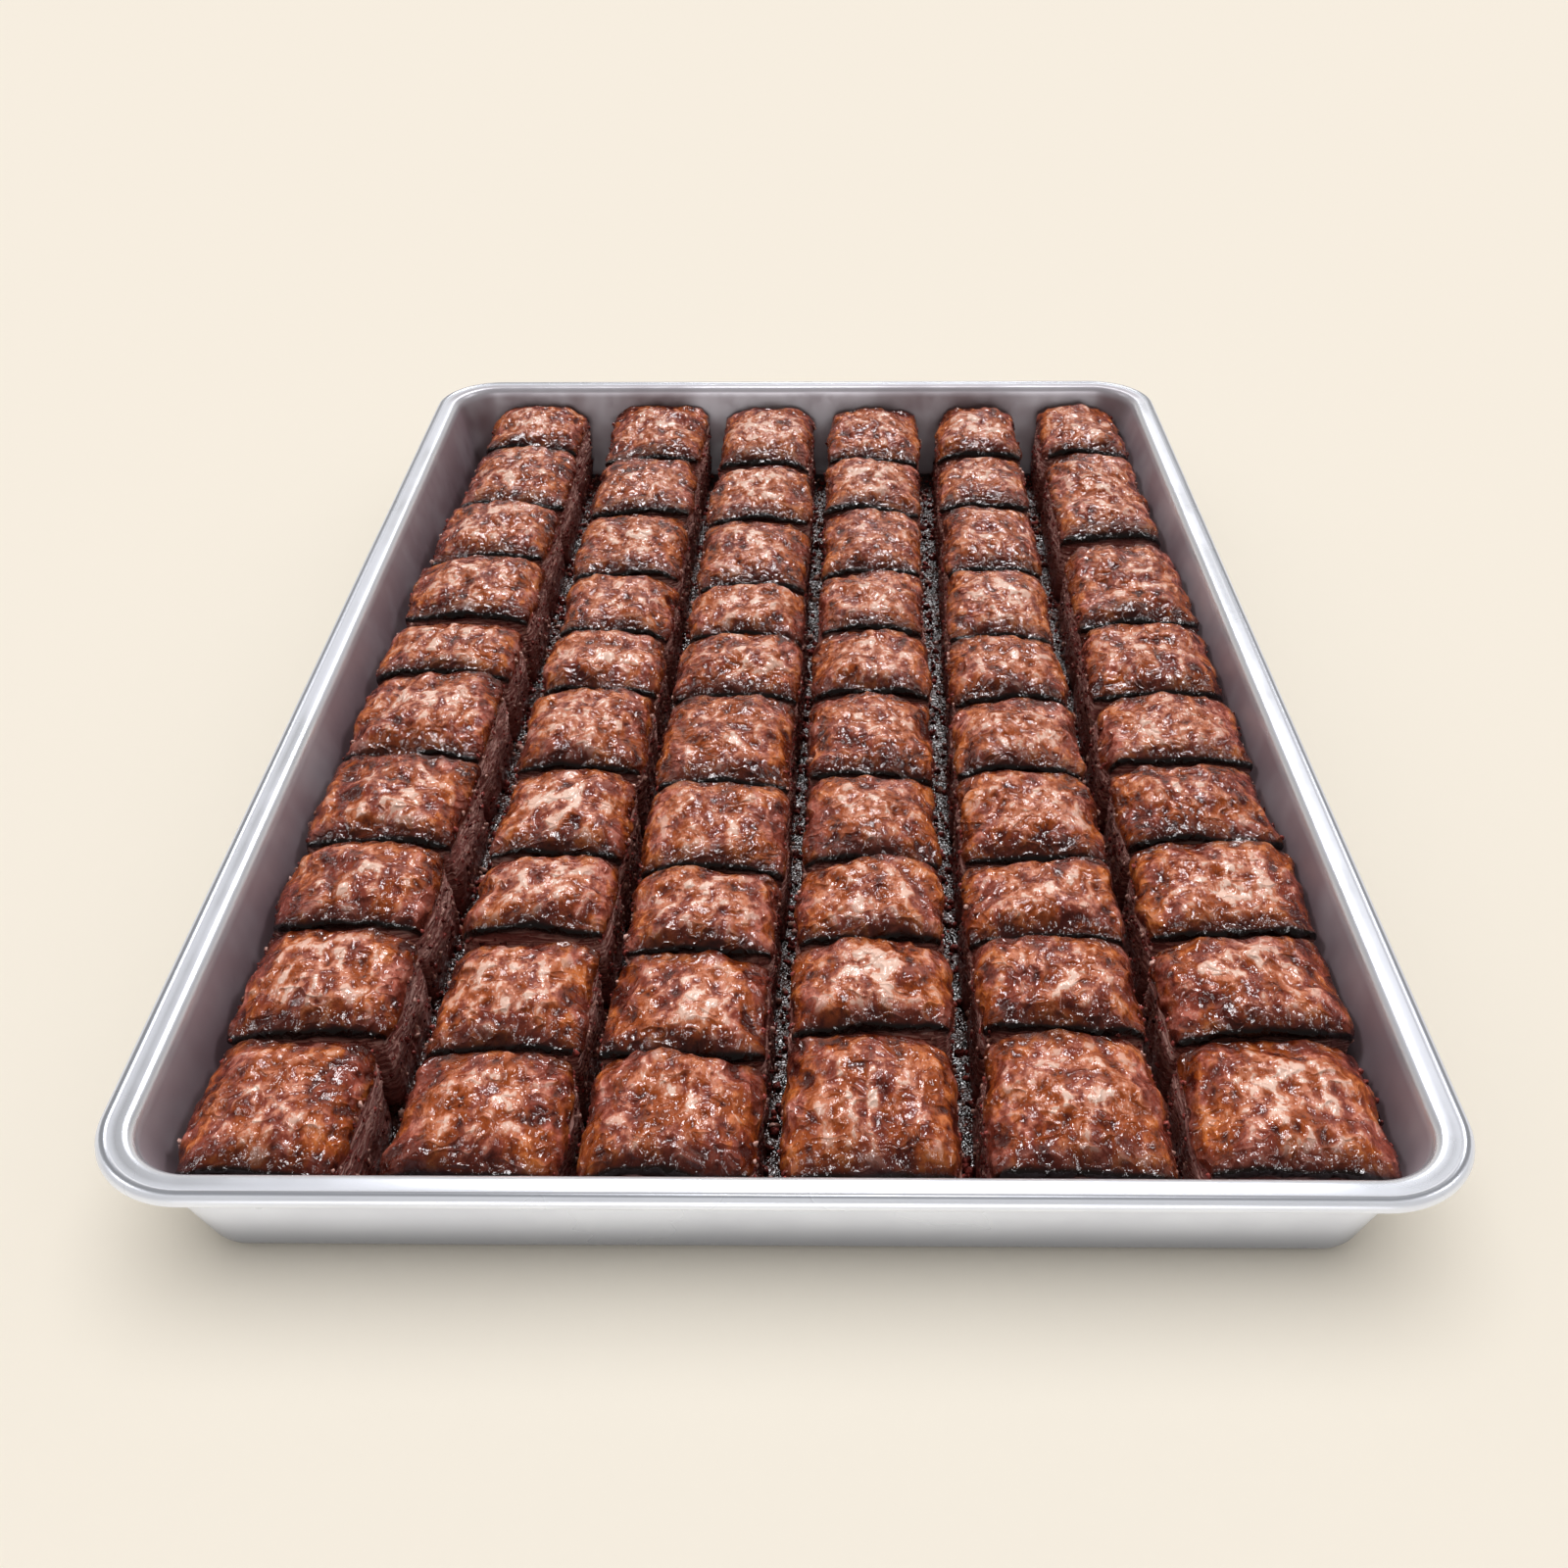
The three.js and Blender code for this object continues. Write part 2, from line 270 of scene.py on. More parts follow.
# %% Floor and light
FLOOR_SIZE = 30.0
FLOOR_DROP = 0.2 * MM
FLOOR_COLOUR = (0.95, 0.893, 0.768, 1)
HORIZON_COLOUR = (1.0, 0.93, 0.85, 1)
ZENITH_COLOUR = (0.2, 0.19, 0.18, 1)
HORIZON_FADE = 0.55
FRONT_FADE_START = 0.7
FRONT_FADE_END = -0.5
FRONT_FADE = 0.8
LAMP_COLOUR = (1.0, 0.99, 1.02)
LIGHTS = [
    # name, elevation and azimuth of the light in degrees (0 is straight behind the tray), how
    # wide it looks in degrees, its strength, and what it reaches
    ("softbox_main", 47, 3, 15, 1.75, "tray"),
    ("softbox_left", 48, -75, 14, 0.75, "tray"),
    ("softbox_right", 48, 75, 14, 0.75, "tray"),
    ("softbox_front", 6, 180, 24, 2.3, "metal"),
    ("softbox_floor", 88, 0, 60, 1.1, "floor"),
    ("sky_floor", 90, 0, 150, 1.25, "floor"),
]


def make_floor():
    half = FLOOR_SIZE / 2
    corners = [(-half, -half), (half, -half), (half, half), (-half, half)]
    mesh = bpy.data.meshes.new("floor")
    mesh.from_pydata([(x, y, -FLOOR_DROP) for x, y in corners], [], [(0, 1, 2, 3)])
    paper = Finish("floor_paper", Base_Color=FLOOR_COLOUR, Roughness=1.0, Specular_IOR_Level=0.0)
    mesh.materials.append(paper.material)
    floor = link(bpy.data.objects.new("floor", mesh))
    return floor


def floor_group(name, state, floor):
    """A collection that tells a light either to reach only the floor or to leave it out."""
    group = bpy.data.collections.new(name)
    group.objects.link(floor)
    group.collection_objects[0].light_linking.link_state = state
    return group


def make_light(name, elevation, azimuth, width, strength, reach):
    lamp = bpy.data.lights.new(name, "SUN")
    lamp.angle = math.radians(width)
    lamp.energy = strength
    lamp.color = LAMP_COLOUR
    light = link(bpy.data.objects.new(name, lamp))
    light.light_linking.receiver_collection = REACH[reach]
    up, side = math.radians(elevation), math.radians(azimuth)
    place = Vector((math.sin(side) * math.cos(up), math.cos(side) * math.cos(up), math.sin(up)))
    light.location = place
    light.rotation_euler = (-place).to_track_quat("-Z", "Y").to_euler()


def make_world():
    """A pale wall behind the tray. The world fades from there to the ceiling and the front."""
    world = bpy.data.worlds.new("studio")
    world.use_nodes = True
    tree = Tree(world.node_tree)
    _, depth, height = separate(tree.field("ShaderNodeTexCoord", output="Generated"))
    fade_up = {"Value": height, "From Max": HORIZON_FADE}
    fade_front = {"Value": depth, "From Min": FRONT_FADE_START, "From Max": FRONT_FADE_END}
    fade_front["To Max"] = FRONT_FADE
    fades = [tree.field("ShaderNodeMapRange", inputs) for inputs in (fade_up, fade_front)]
    sky = mix(tree.math("ADD", *fades, clamp=True), HORIZON_COLOUR, ZENITH_COLOUR)
    tree.feed(world.node_tree.nodes["Background"].inputs["Color"], sky)
    bpy.context.scene.world = world


FLOOR = make_floor()
REACH = {
    "tray": floor_group("all_but_floor", "EXCLUDE", FLOOR),
    "floor": floor_group("floor_alone", "INCLUDE", FLOOR),
    "metal": bpy.data.collections.new("metal_alone"),
}
make_world()
for light in LIGHTS:
    make_light(*light)
bpy.context.scene.view_settings.view_transform = "Standard"
print(len(LIGHTS), "soft lights")

# %% [markdown]
# ## Running a Geometry Nodes tree
# Each tree gets named inputs for its sizes. `grow` hangs the tree on a base mesh, sets the inputs
# by their identifiers, and keeps the result as a plain mesh, without a live modifier.

# %% Trees with named inputs, and plain meshes
SOCKET_KINDS = {float: "Float", int: "Int"}


def add_socket(group, name, kind, side="INPUT"):
    return group.interface.new_socket(name, in_out=side, socket_type="NodeSocket" + kind)


def start_group(name, kind, plain, numbers):
    """A new tree. Its plain inputs are named after their kind, and its numbers have defaults."""
    group = bpy.data.node_groups.new(name, kind)
    for title in plain:
        add_socket(group, title, title)
    for title, value in numbers.items():
        add_socket(group, title, SOCKET_KINDS[type(value)]).default_value = value
    tree = Tree(group)
    start = tree.add("NodeGroupInput")
    return tree, {output.name: Field(tree, output) for output in start.outputs if output.name}


def end_group(tree, name, kind, value):
    """Gives a tree its one output."""
    add_socket(tree.tree, name, kind, "OUTPUT")
    tree.add("NodeGroupOutput", {name: value})
    return tree.tree


def geometry_tree(name, sizes):
    return start_group(name, "GeometryNodeTree", ("Geometry", "Material"), sizes)


def finish_tree(tree, geometry, material):
    """Ends a tree: instances made real, shaded smooth, and the material set."""
    real = tree.field("GeometryNodeRealizeInstances", {"Geometry": geometry})
    smooth = tree.field("GeometryNodeSetShadeSmooth", {"Geometry": real})
    done = tree.field("GeometryNodeSetMaterial", {"Geometry": smooth, "Material": material})
    return end_group(tree, "Geometry", "Geometry", done)


def set_position(geometry, key, value):
    return geometry.tree.field("GeometryNodeSetPosition", {"Geometry": geometry, key: value})


def grow(name, base, group, values):
    """The object that a geometry tree makes of a base mesh, as a plain mesh."""
    holder = link(bpy.data.objects.new(name + "_base", base))
    modifier = holder.modifiers.new("shape", "NODES")
    modifier.node_group = group
    for item in group.interface.items_tree:
        if item.in_out == "INPUT" and item.name in values:
            modifier[item.identifier] = values[item.name]
    graph = bpy.context.evaluated_depsgraph_get()
    mesh = bpy.data.meshes.new_from_object(holder.evaluated_get(graph), depsgraph=graph)
    mesh.name = name
    bpy.data.objects.remove(holder)
    bpy.data.meshes.remove(base)
    return link(bpy.data.objects.new(name, mesh))


def mesh_from(name, points, faces):
    """A mesh from points, in metres, and faces."""
    mesh = bpy.data.meshes.new(name)
    mesh.from_pydata([tuple(point) for point in points], [], [tuple(face) for face in faces])
    mesh.update()
    return mesh


def vectors_of(items, key):
    """The vectors that vertices or faces hold under a key, as an array."""
    values = np.empty(len(items) * 3, np.float32)
    items.foreach_get(key, values)
    return values.reshape(-1, 3).astype(float)


def points_of(mesh):
    return vectors_of(mesh.vertices, "co")


def set_mask(mesh, name, values):
    """Stores one number for each vertex."""
    mask = mesh.attributes.new(name, "FLOAT", "POINT")
    mask.data.foreach_set("value", np.asarray(values, np.float32))


def ring_faces(rows):
    """Squares between loops of vertex numbers. Each loop is the outer or upper side of the last."""
    faces = []
    for first, second in zip(rows, rows[1:]):
        square = [first, np.roll(first, -1), np.roll(second, -1), second]
        faces += np.stack(square, -1).tolist()
    return faces


def at_height(places, z):
    """Places in plan, lifted to a height."""
    return np.column_stack([places, np.full(len(places), z)])


# %% [markdown]
# ## Effects that several finishes share
# Three shader groups are built once and used in many materials. `Patches` is a soft uneven mask,
# `Specks` a mask of small dots, and `Wet relief` the fine unevenness of a syrupy surface, for a
# Bump node. They read the object's own coordinates, so nothing slides when the camera moves.

# %% Shader groups


def shader_group(name, **numbers):
    """A new shader tree, its inputs, its place in the textures, and the scale of its pattern."""
    tree, given = start_group(name, "ShaderNodeTree", ["Vector"], {**numbers, "Seed": 0.0})
    return tree, given, elsewhere(given["Vector"], given["Seed"]), 1 / given["Size"]


def patches_group():
    tree, given, place, scale = shader_group("Patches", Size=0.01, Low=0.4, High=0.6)
    cloud = noise(place, scale, 3.0, 0.6)
    return end_group(tree, "Mask", "Float", ramp(cloud, given["Low"], given["High"]))


def specks_group():
    tree, given, place, scale = shader_group("Specks", Size=0.002, Amount=0.3)
    distance = cells(place, scale)
    presence = noise(place, scale * 0.35, 0.0)
    reach = ramp(presence, 0.62 - given["Amount"], 0.78 - given["Amount"], 0.0, 0.36)
    return end_group(tree, "Mask", "Float", ramp(distance, reach, reach * 0.55))


def wet_relief_group():
    tree, given, place, scale = shader_group("Wet relief", Size=0.003, Crackle=0.5)
    drift = noise(place, scale * 0.6, 1.0, output="Color")
    place = vector_math("ADD", place, scaled(drift, given["Size"] * 1.1))
    ridges = ridged(noise(place, scale, 1.0)) ** 3
    domes = 1 - cells(place, scale)
    height = ridges * given["Crackle"] + domes * (1 - given["Crackle"])
    return end_group(tree, "Height", "Float", height)


PATCHES = patches_group()
SPECKS = specks_group()
WET_RELIEF = wet_relief_group()

# %% [markdown]
# ## The glazed pastry
# The top sheet is thin dough that blistered in the oven and was then soaked in dark syrup. It is
# brown or amber where the glaze lies thick and rose or orange where it is thin. Light is painted
# into the colour as well: a rose and pale painted sheen on the crown, painted shade in the hollows
# of the relief, along the edges of the top and at its front and back ends, and painted shade nearly
# black in the cuts. The colour follows the relief of the mesh, which is handed over as attributes,
# and fine streaks that run from cut to cut. The surface is very smooth, so the dark parts stay dark
# and the light makes small glints.

# %% Pastry material
MILK_BROWN = colour(140, 62, 45)
AMBER_BROWN = colour(162, 74, 27)
MAUVE_PINK = colour(192, 106, 87)
ORANGE_BROWN = colour(212, 116, 52)
ROSE_BROWN = colour(214, 136, 106)
CROWN_SHEEN_PALE = colour(254, 216, 196)
DEEP_BROWN = colour(70, 15, 6)
EDGE_SHADE_BROWN = colour(50, 9, 4)
CUT_SHADE_BLACK = colour(16, 4, 3)
COCOA = colour(156, 98, 90)
LAYER_EDGE = colour(236, 188, 176)
STREAK_STRETCH = (1.3, 0.65, 1.0)
STREAK_SIZE = 0.007
LAYER_STRETCH = (90.0, 90.0, 900.0)
PIECE_MASKS = ("relief", "side", "rim", "shaded_ends", "tint", "crown", "cut_shade")


def pastry_material():
    finish = Finish("glazed_pastry", Specular_IOR_Level=0.4)
    relief, side, rim, shaded_ends, tint, crown, cut_shade = map(finish.attribute, PIECE_MASKS)
    broad = finish.group(PATCHES, size=0.014, low=0.4, high=0.6, seed=1.0)
    fine = finish.group(PATCHES, size=0.006, low=0.42, high=0.6, seed=2.0)
    streaked = vector_math("MULTIPLY", finish.place, STREAK_STRETCH)
    hue = finish.group(PATCHES, at=streaked, size=0.012, low=0.42, high=0.56, seed=9.0)
    pale = finish.group(PATCHES, size=0.008, low=0.4, high=0.6, seed=3.0)
    specks = finish.group(SPECKS, size=0.0036, amount=0.22, seed=4.0)
    crust = finish.group(WET_RELIEF, size=0.0062, crackle=0.7, seed=7.0)
    streaks = noise(streaked, 1 / STREAK_SIZE, 4.0, 0.7)
    # painted shade and sheen: the relief darkens hollows and lightens ridges, the crown lightens
    relief_shade = ramp(relief, 0.46, 0.88, 0.5, 0.86)
    level = streaks * 0.9 - 0.17 + relief_shade * 0.6 + crust * 0.18 + pale * 0.08 + broad * 0.08
    level = level + tint * 0.06 + crown * 0.1

    middle = mix(hue, MILK_BROWN, AMBER_BROWN)
    light = mix(hue, MAUVE_PINK, ORANGE_BROWN)
    # painted sheen: the crown turns rose
    light = mix(ramp(crown, 0.15, 0.85) * 0.85, light, ROSE_BROWN)
    body = mix(ramp(level, 0.68, 0.92), DEEP_BROWN, middle)
    body = mix(ramp(level, 0.91, 1.04), body, light)
    # painted sheen: the highest parts of the crown turn pale, like small glints
    body = mix(ramp(level, 1.04, 1.11) * crown, body, CROWN_SHEEN_PALE)
    # painted shade: the top falls dark toward its front and back ends
    body = mix(shaded_ends * 0.85, body, EDGE_SHADE_BROWN)
    # painted shade: the outer edges of the top darken where they roll into the gaps
    body = mix(ramp(rim, 0.9, 1.0) * 0.5, body, EDGE_SHADE_BROWN)
    # painted shade: nearly black along the front cut, where the gap falls in shadow
    body = mix(cut_shade, body, CUT_SHADE_BLACK)

    height = separate(finish.place)[2]
    flattened = vector_math("MULTIPLY", finish.place, LAYER_STRETCH)
    layers = noise(flattened, 1.0, 2.0, 0.6)
    cut = mix(ramp(layers, 0.45, 0.62), COCOA, LAYER_EDGE)
    cut = mix(specks, cut, COCOA)
    cut = mix(ramp(height, 0.024, 0.006), cut, COCOA)
    finish.set(Base_Color=mix(side, body, cut))

    finish.set(Roughness=blend(side, blend(fine, 0.1, 0.2), 0.25))
    finish.bump(crust + streaks * 0.8 + layers * side, 0.0012)
    return finish.material


PASTRY = pastry_material()

# %% [markdown]
# ## The rule of a baklava piece
# In plan a piece is a four-sided patch of its column, with rounded corners. Its top rises from a
# shoulder to a crown, in an arch from side to side and in a flatter swell from cut to cut, and its
# sides spread a little toward the bottom. The sizes below follow the solids. Only the corners are
# drawn in a little less, because the crinkles round them as well.

# %% Sizes of the pieces, in millimetres
SHEET = 1.2
FLOOR_CLEARANCE = 0.5
SHOULDER_HEIGHT = 34.5
CROWN_HEIGHT = 44.2
HIGHEST_CROWN = 45.3
CUT_EDGE_SHARE = 0.5
ARCH_SQUARENESS = 2.4
ARCH_FALL = 0.6
SWELL_SQUARENESS = 2.6
SWELL_FALL = 0.7
CORNER_PULL_Y = 0.085
CORNER_PULL_X = 0.045
CORNER_SHARPNESS = 6
BASE_SPREAD = 1.6
CUT_FACE_SHARE = 0.25
CUT_GAP = 2.6
CROWN_VARIATION = 0.9
TILT_VARIATION = 0.9
CRINKLE_DEPTH = 0.75
EDGE_VARIATION = 0.8
FRONT_END = -281
EDGE_STATION = 250


def measures(left, right, wide, back, *cuts):
    """A column: side edges at three stations, widths of its wider cuts, back end, and cuts."""
    return {"left": left, "right": right, "wide": wide, "back": back, "cuts": cuts}


COLUMNS = [
    measures(
        (-178.5, -178, -168), (-129.5, -121, -119), {4: 6.5, 9: 5}, 286,
        229, 160, 103, 42, -5, -67, -124.5, -172, -224.5,
    ),
    measures(
        (-115, -105.5, -102.5), (-65.5, -56, -50), {8: 7.5, 9: 4}, 286.5,
        216.5, 148, 83.5, 30.5, -18, -76.5, -132, -177.5, -231,
    ),
    measures(
        (-58.5, -47.5, -38.5), (-8, 3.5, 10.5), {5: 4}, 284,
        207, 141, 72, 26.5, -22.5, -86.5, -139, -184.5, -232.5,
    ),
    measures(
        (1, 11, 20.5), (53.5, 58.5, 67.5), {9: 4.5}, 281.5,
        216.5, 150.5, 87.5, 30.5, -21, -80.5, -133, -177.5, -223,
    ),
    measures(
        (62.5, 69.5, 80), (116, 117.5, 122), {9: 4.5}, 279.5,
        219.5, 155, 88, 27, -26, -79.5, -132, -177.5, -221.5,
    ),
    measures(
        (124, 128, 136.5), (181, 183, 180), {2: 9, 5: 5}, 282,
        221, 117, 36.5, -22.5, -73.5, -122.5, -175.5, -224,
    ),
]

# %% Repeatable unevenness
HASH_START = 2166136261
HASH_OFFSET = 1013
HASH_SPREAD = 16777619
HASH_STIR = 2246822519


def scatter(*numbers):
    """A repeatable number from -1 to 1 for each set of whole numbers, by an integer hash."""
    mask = 0xFFFFFFFF
    state = HASH_START
    for number in numbers:
        state = ((state ^ (number + HASH_OFFSET)) * HASH_SPREAD) & mask
        state = ((state ^ (state >> 15)) * HASH_STIR) & mask
    state ^= state >> 13
    return state / 2**31 - 1


def edge_at(stations, y):
    """The side edge of a column at a place along it, on the curve through its three stations."""
    front, middle, back = stations
    t = y / EDGE_STATION
    return middle + (back - front) / 2 * t + ((back + front) / 2 - middle) * t * t


def column_pieces(number, column):
    """The measures of the pieces in one column, from the back to the front."""
    cuts = column["cuts"]
    half = [column["wide"].get(i + 1, CUT_GAP) / 2 for i in range(len(cuts))]
    backs = [column["back"], *(y - gap for y, gap in zip(cuts, half))]
    fronts = [*(y + gap for y, gap in zip(cuts, half)), FRONT_END]
    pieces = []
    for row, (back, front) in enumerate(zip(backs, fronts), start=1):
        name = f"baklava_c{number}_r{row:02d}"
        piece = {"column": number, "row": row, "name": name, "Front": front, "Back": back}
        for side, draw in (("Left", 1), ("Right", 2)):
            shift = EDGE_VARIATION * scatter(number, row, draw)
            for end, y in (("front", front), ("back", back)):
                piece[f"{side} at {end}"] = edge_at(column[side.lower()], y) + shift
        piece["Crown"] = CROWN_HEIGHT + CROWN_VARIATION * scatter(number, row, 3)
        piece["Tilt across"] = TILT_VARIATION * scatter(number, row, 4)
        piece["Tilt along"] = TILT_VARIATION * scatter(number, row, 5)
        pieces.append(piece)
    return pieces


PIECES = [
    piece for number, edges in enumerate(COLUMNS, start=1) for piece in column_pieces(number, edges)
]
print(len(PIECES), "pieces in", len(COLUMNS), "columns")

# %% [markdown]
# ## The blank for a piece
# The rule needs a mesh to work on: a closed block on unit coordinates, where x and y run from -1
# to 1 over the top and z is the share of the height. Its lines are closer together near the edges,
# where the top curls over. It carries the slow lumps of the top, which are drawn on the same
# coarse lattice as in the solids and smoothed in between.

# %% Unit blank
CELL = 0.85
ACROSS_CELLS = 62
LINE_CROWDING = 0.86
SIDE_SHARES = [0.975, 0.94, 0.9, 0.85, 0.79, 0.72, 0.64, 0.55, 0.45, 0.34, 0.2, 0.0]
LUMP_LINES = np.array([-1, -0.84, -0.47, 0, 0.47, 0.84, 1])


def crowded_lines(count):
    """Places from -1 to 1, closer together toward both ends."""
    angle = np.linspace(-1, 1, count + 1) * math.pi / 2 * LINE_CROWDING
    return np.sin(angle) / math.sin(math.pi / 2 * LINE_CROWDING)


def lump_share(values):
    """For each value, the lattice line before it and how far it is to the next one, smoothed."""
    index = np.clip(np.searchsorted(LUMP_LINES, values, side="right") - 1, 0, len(LUMP_LINES) - 2)
    share = (values - LUMP_LINES[index]) / (LUMP_LINES[index + 1] - LUMP_LINES[index])
    return index, share * share * (3 - 2 * share)


def lumps_at(piece, across, along):
    """The lumps of a piece's top, in millimetres, at unit coordinates."""
    lines = range(len(LUMP_LINES))
    number, row = piece["column"], piece["row"]
    lattice = np.array([[scatter(number, row, i, j) for j in lines] for i in lines])
    i, s = lump_share(across)
    j, t = lump_share(along)
    low = lattice[i, j] * (1 - s) + lattice[i + 1, j] * s
    high = lattice[i, j + 1] * (1 - s) + lattice[i + 1, j + 1] * s
    return CRINKLE_DEPTH * (low * (1 - t) + high * t)


def blank_block(piece):
    """A closed block on unit coordinates with as many cells as a piece of this size needs."""
    u = crowded_lines(ACROSS_CELLS)
    v = crowded_lines(round((piece["Back"] - piece["Front"]) / CELL))
    grid = np.array([(x, y, 1.0) for y in v for x in u])
    rows = np.arange(len(grid)).reshape(len(v), len(u))
    ring = np.concatenate([rows[0, :-1], rows[:-1, -1], rows[-1, :0:-1], rows[:0:-1, 0]])
    levels = [grid[ring] * (1, 1, 0) + (0, 0, share) for share in SIDE_SHARES]
    points = np.concatenate([grid, *levels, [(0.0, 0.0, 0.0)]])

    squares = [rows[:-1, :-1], rows[:-1, 1:], rows[1:, 1:], rows[1:, :-1]]
    faces = np.stack(squares, -1).reshape(-1, 4).tolist()
    loops = [ring, *(len(grid) + k * len(ring) + np.arange(len(ring)) for k in range(len(levels)))]
    for upper, lower in zip(loops, loops[1:]):
        faces += ring_faces([lower, upper])
    base = loops[-1]
    middle = np.full(len(base), len(points) - 1)
    faces += np.stack([np.roll(base, -1), base, middle], -1).tolist()

    mesh = mesh_from("blank", points, faces)
    set_mask(mesh, "lump", lumps_at(piece, points[:, 0], points[:, 1]) * MM)
    return mesh


print("a blank has", len(blank_block(PIECES[0]).polygons), "faces")

# %% [markdown]
# ## The tree that shapes a piece
# The first half of the tree is the rule itself, written as formulas of the unit coordinates. The
# second half is the relief: on top wrinkles that run roughly from back to front, finer crinkles
# and blisters, and on the sides ledges, because a knife drags the layers, and a crumbly middle.
# The relief is also stored as attributes for the material, with masks for where it paints
# shade at the ends, edges and cut line of the top and sheen on its crown.

# %% Tree of a piece
PIECE_SIZES = {
    "Left at front": -0.025,
    "Left at back": -0.025,
    "Right at front": 0.025,
    "Right at back": 0.025,
    "Front": -0.03,
    "Back": 0.03,
    "Crown": CROWN_HEIGHT * MM,
    "Tilt across": 0.0,
    "Tilt along": 0.0,
    "Base": (SHEET + FLOOR_CLEARANCE) * MM,
    "Shoulder": SHOULDER_HEIGHT * MM,
    "Base spread": BASE_SPREAD * MM,
    "Warp size": 0.022,
    "Warp": 0.0028,
    "Swell size": 0.014,
    "Swell depth": 0.0013,
    "Wrinkle size": 0.0085,
    "Wrinkle depth": 0.0011,
    "Wrinkle turn": 0.0,
    "Crinkle size": 0.0055,
    "Crinkle depth": 0.0006,
    "Blister size": 0.006,
    "Blister depth": 0.00055,
    "Layer pitch": 0.0031,
    "Layer depth": 0.0009,
    "Filling depth": 0.0011,
    "Tint": 0.5,
    "Seed": 0.0,
}
BLANK_EDGE = 0.999
FRONT_BOW = 0.15
BACK_SHADE_SHARE = 0.75


def arch(u):
    """The arch of a top sheet from side to side, 0 at its edges and 1 in the middle."""
    return (1 - abs(u) ** ARCH_SQUARENESS).math("MAXIMUM", 0.0) ** ARCH_FALL


def swell(v):
    """The swell of a top sheet from cut to cut."""
    pillow = (1 - abs(v) ** SWELL_SQUARENESS).math("MAXIMUM", 0.0) ** SWELL_FALL
    return CUT_EDGE_SHARE + (1 - CUT_EDGE_SHARE) * pillow


def at_edge(value):
    """-1 or 1 on the two outer lines of the blank, and 0 between them."""
    return abs(value).math("GREATER_THAN", BLANK_EDGE) * value.math("SIGN")


def named_attribute(tree, name):
    node = tree.add("GeometryNodeInputNamedAttribute", {"Name": name}, data_type="FLOAT")
    return Field(tree, node.outputs["Attribute"])


def store(geometry, name, value):
    inputs = {"Geometry": geometry, "Name": name, "Value": value}
    settings = {"data_type": "FLOAT", "domain": "POINT"}
    return geometry.tree.field("GeometryNodeStoreNamedAttribute", inputs, **settings)


def place_by_rule(tree, given):
    """The place of a point of the blank, from the piece's measures."""
    u, v, t = separate(tree.field("GeometryNodeInputPosition"))
    pull_x = CORNER_PULL_X * abs(v) ** CORNER_SHARPNESS * u * u
    pull_y = CORNER_PULL_Y * abs(u) ** CORNER_SHARPNESS * v * v
    share_y = (1 + v * (1 - pull_y)) / 2
    share_x = (1 + u * (1 - pull_x)) / 2
    left = blend(share_y, given["Left at front"], given["Left at back"])
    right = blend(share_y, given["Right at front"], given["Right at back"])
    rise = (given["Crown"] - given["Shoulder"]) * arch(u) * swell(v)
    tilt = given["Tilt across"] * u + given["Tilt along"] * v
    surface = given["Shoulder"] + rise + tilt + named_attribute(tree, "lump")
    spread = given["Base spread"] * (1 - t)
    x = blend(share_x, left, right) + at_edge(u) * spread
    y = blend(share_y, given["Front"], given["Back"]) + at_edge(v) * spread * CUT_FACE_SHARE
    z = blend(t, given["Base"], surface.math("MINIMUM", HIGHEST_CROWN * MM))
    return tree.combine(x, y, z), (u, v, t)


def outline_warp(tree, given):
    """A slow sideways shift, because no cut is quite straight. It leaves the base as it is."""
    place = tree.field("GeometryNodeInputPosition")
    height = ramp(separate(place)[2], given["Base"], given["Shoulder"])
    place = elsewhere(place, given["Seed"])
    return swing(place, 1 / given["Warp size"], given["Warp"] * 2 * height)


def top_relief(given, place):
    """Wrinkles, crinkles and blisters of the top: their sum in metres, and a shade from 0 to 1."""
    place = elsewhere(place, given["Seed"])
    bent = vector_math("ADD", place, swing(place, 55.0, 0.004))
    turn = {"Vector": bent, "Angle": given["Wrinkle turn"]}
    turned = place.tree.field("ShaderNodeVectorRotate", turn, rotation_type="Z_AXIS")
    swells = noise(place, 1 / given["Swell size"], 0.0)
    long_way = vector_math("MULTIPLY", turned, (1.0, 0.38, 0.6))
    wrinkles = ridged(noise(long_way, 1 / given["Wrinkle size"], 1.0)) ** 2.2
    crinkles = ridged(noise(bent, 1 / given["Crinkle size"], 2.0, 0.55)) ** 1.6
    domes = cells(bent, 1 / given["Blister size"], "SMOOTH_F1")
    presence = ramp(noise(place, 90.0, 1.0), 0.38, 0.55)
    blisters = ramp(domes, 0.62, 0.1) * presence
    depth = (
        (swells - 0.5) * 2 * given["Swell depth"]
        + (wrinkles - 0.4) * given["Wrinkle depth"]
        + (crinkles - 0.45) * given["Crinkle depth"]
        + blisters * given["Blister depth"]
    )
    return depth, wrinkles * 0.45 + crinkles * 0.35 + blisters * 0.2


def side_relief(given, place):
    """Ledges of the cut layers and the crumbly filling, in metres."""
    z = separate(place)[2]
    place = elsewhere(place, given["Seed"])
    phase = z / given["Layer pitch"] + noise(place, 60.0, 2.0) * 2.2
    ledge = phase.math("FRACT") - 0.5
    filling = ramp(z, 0.007, 0.012) * ramp(z, 0.03, 0.025)
    crumble = noise(place, 420.0, 3.0, 0.65) - 0.55
    return ledge * given["Layer depth"] + crumble * 2 * given["Filling depth"] * (0.4 + filling)


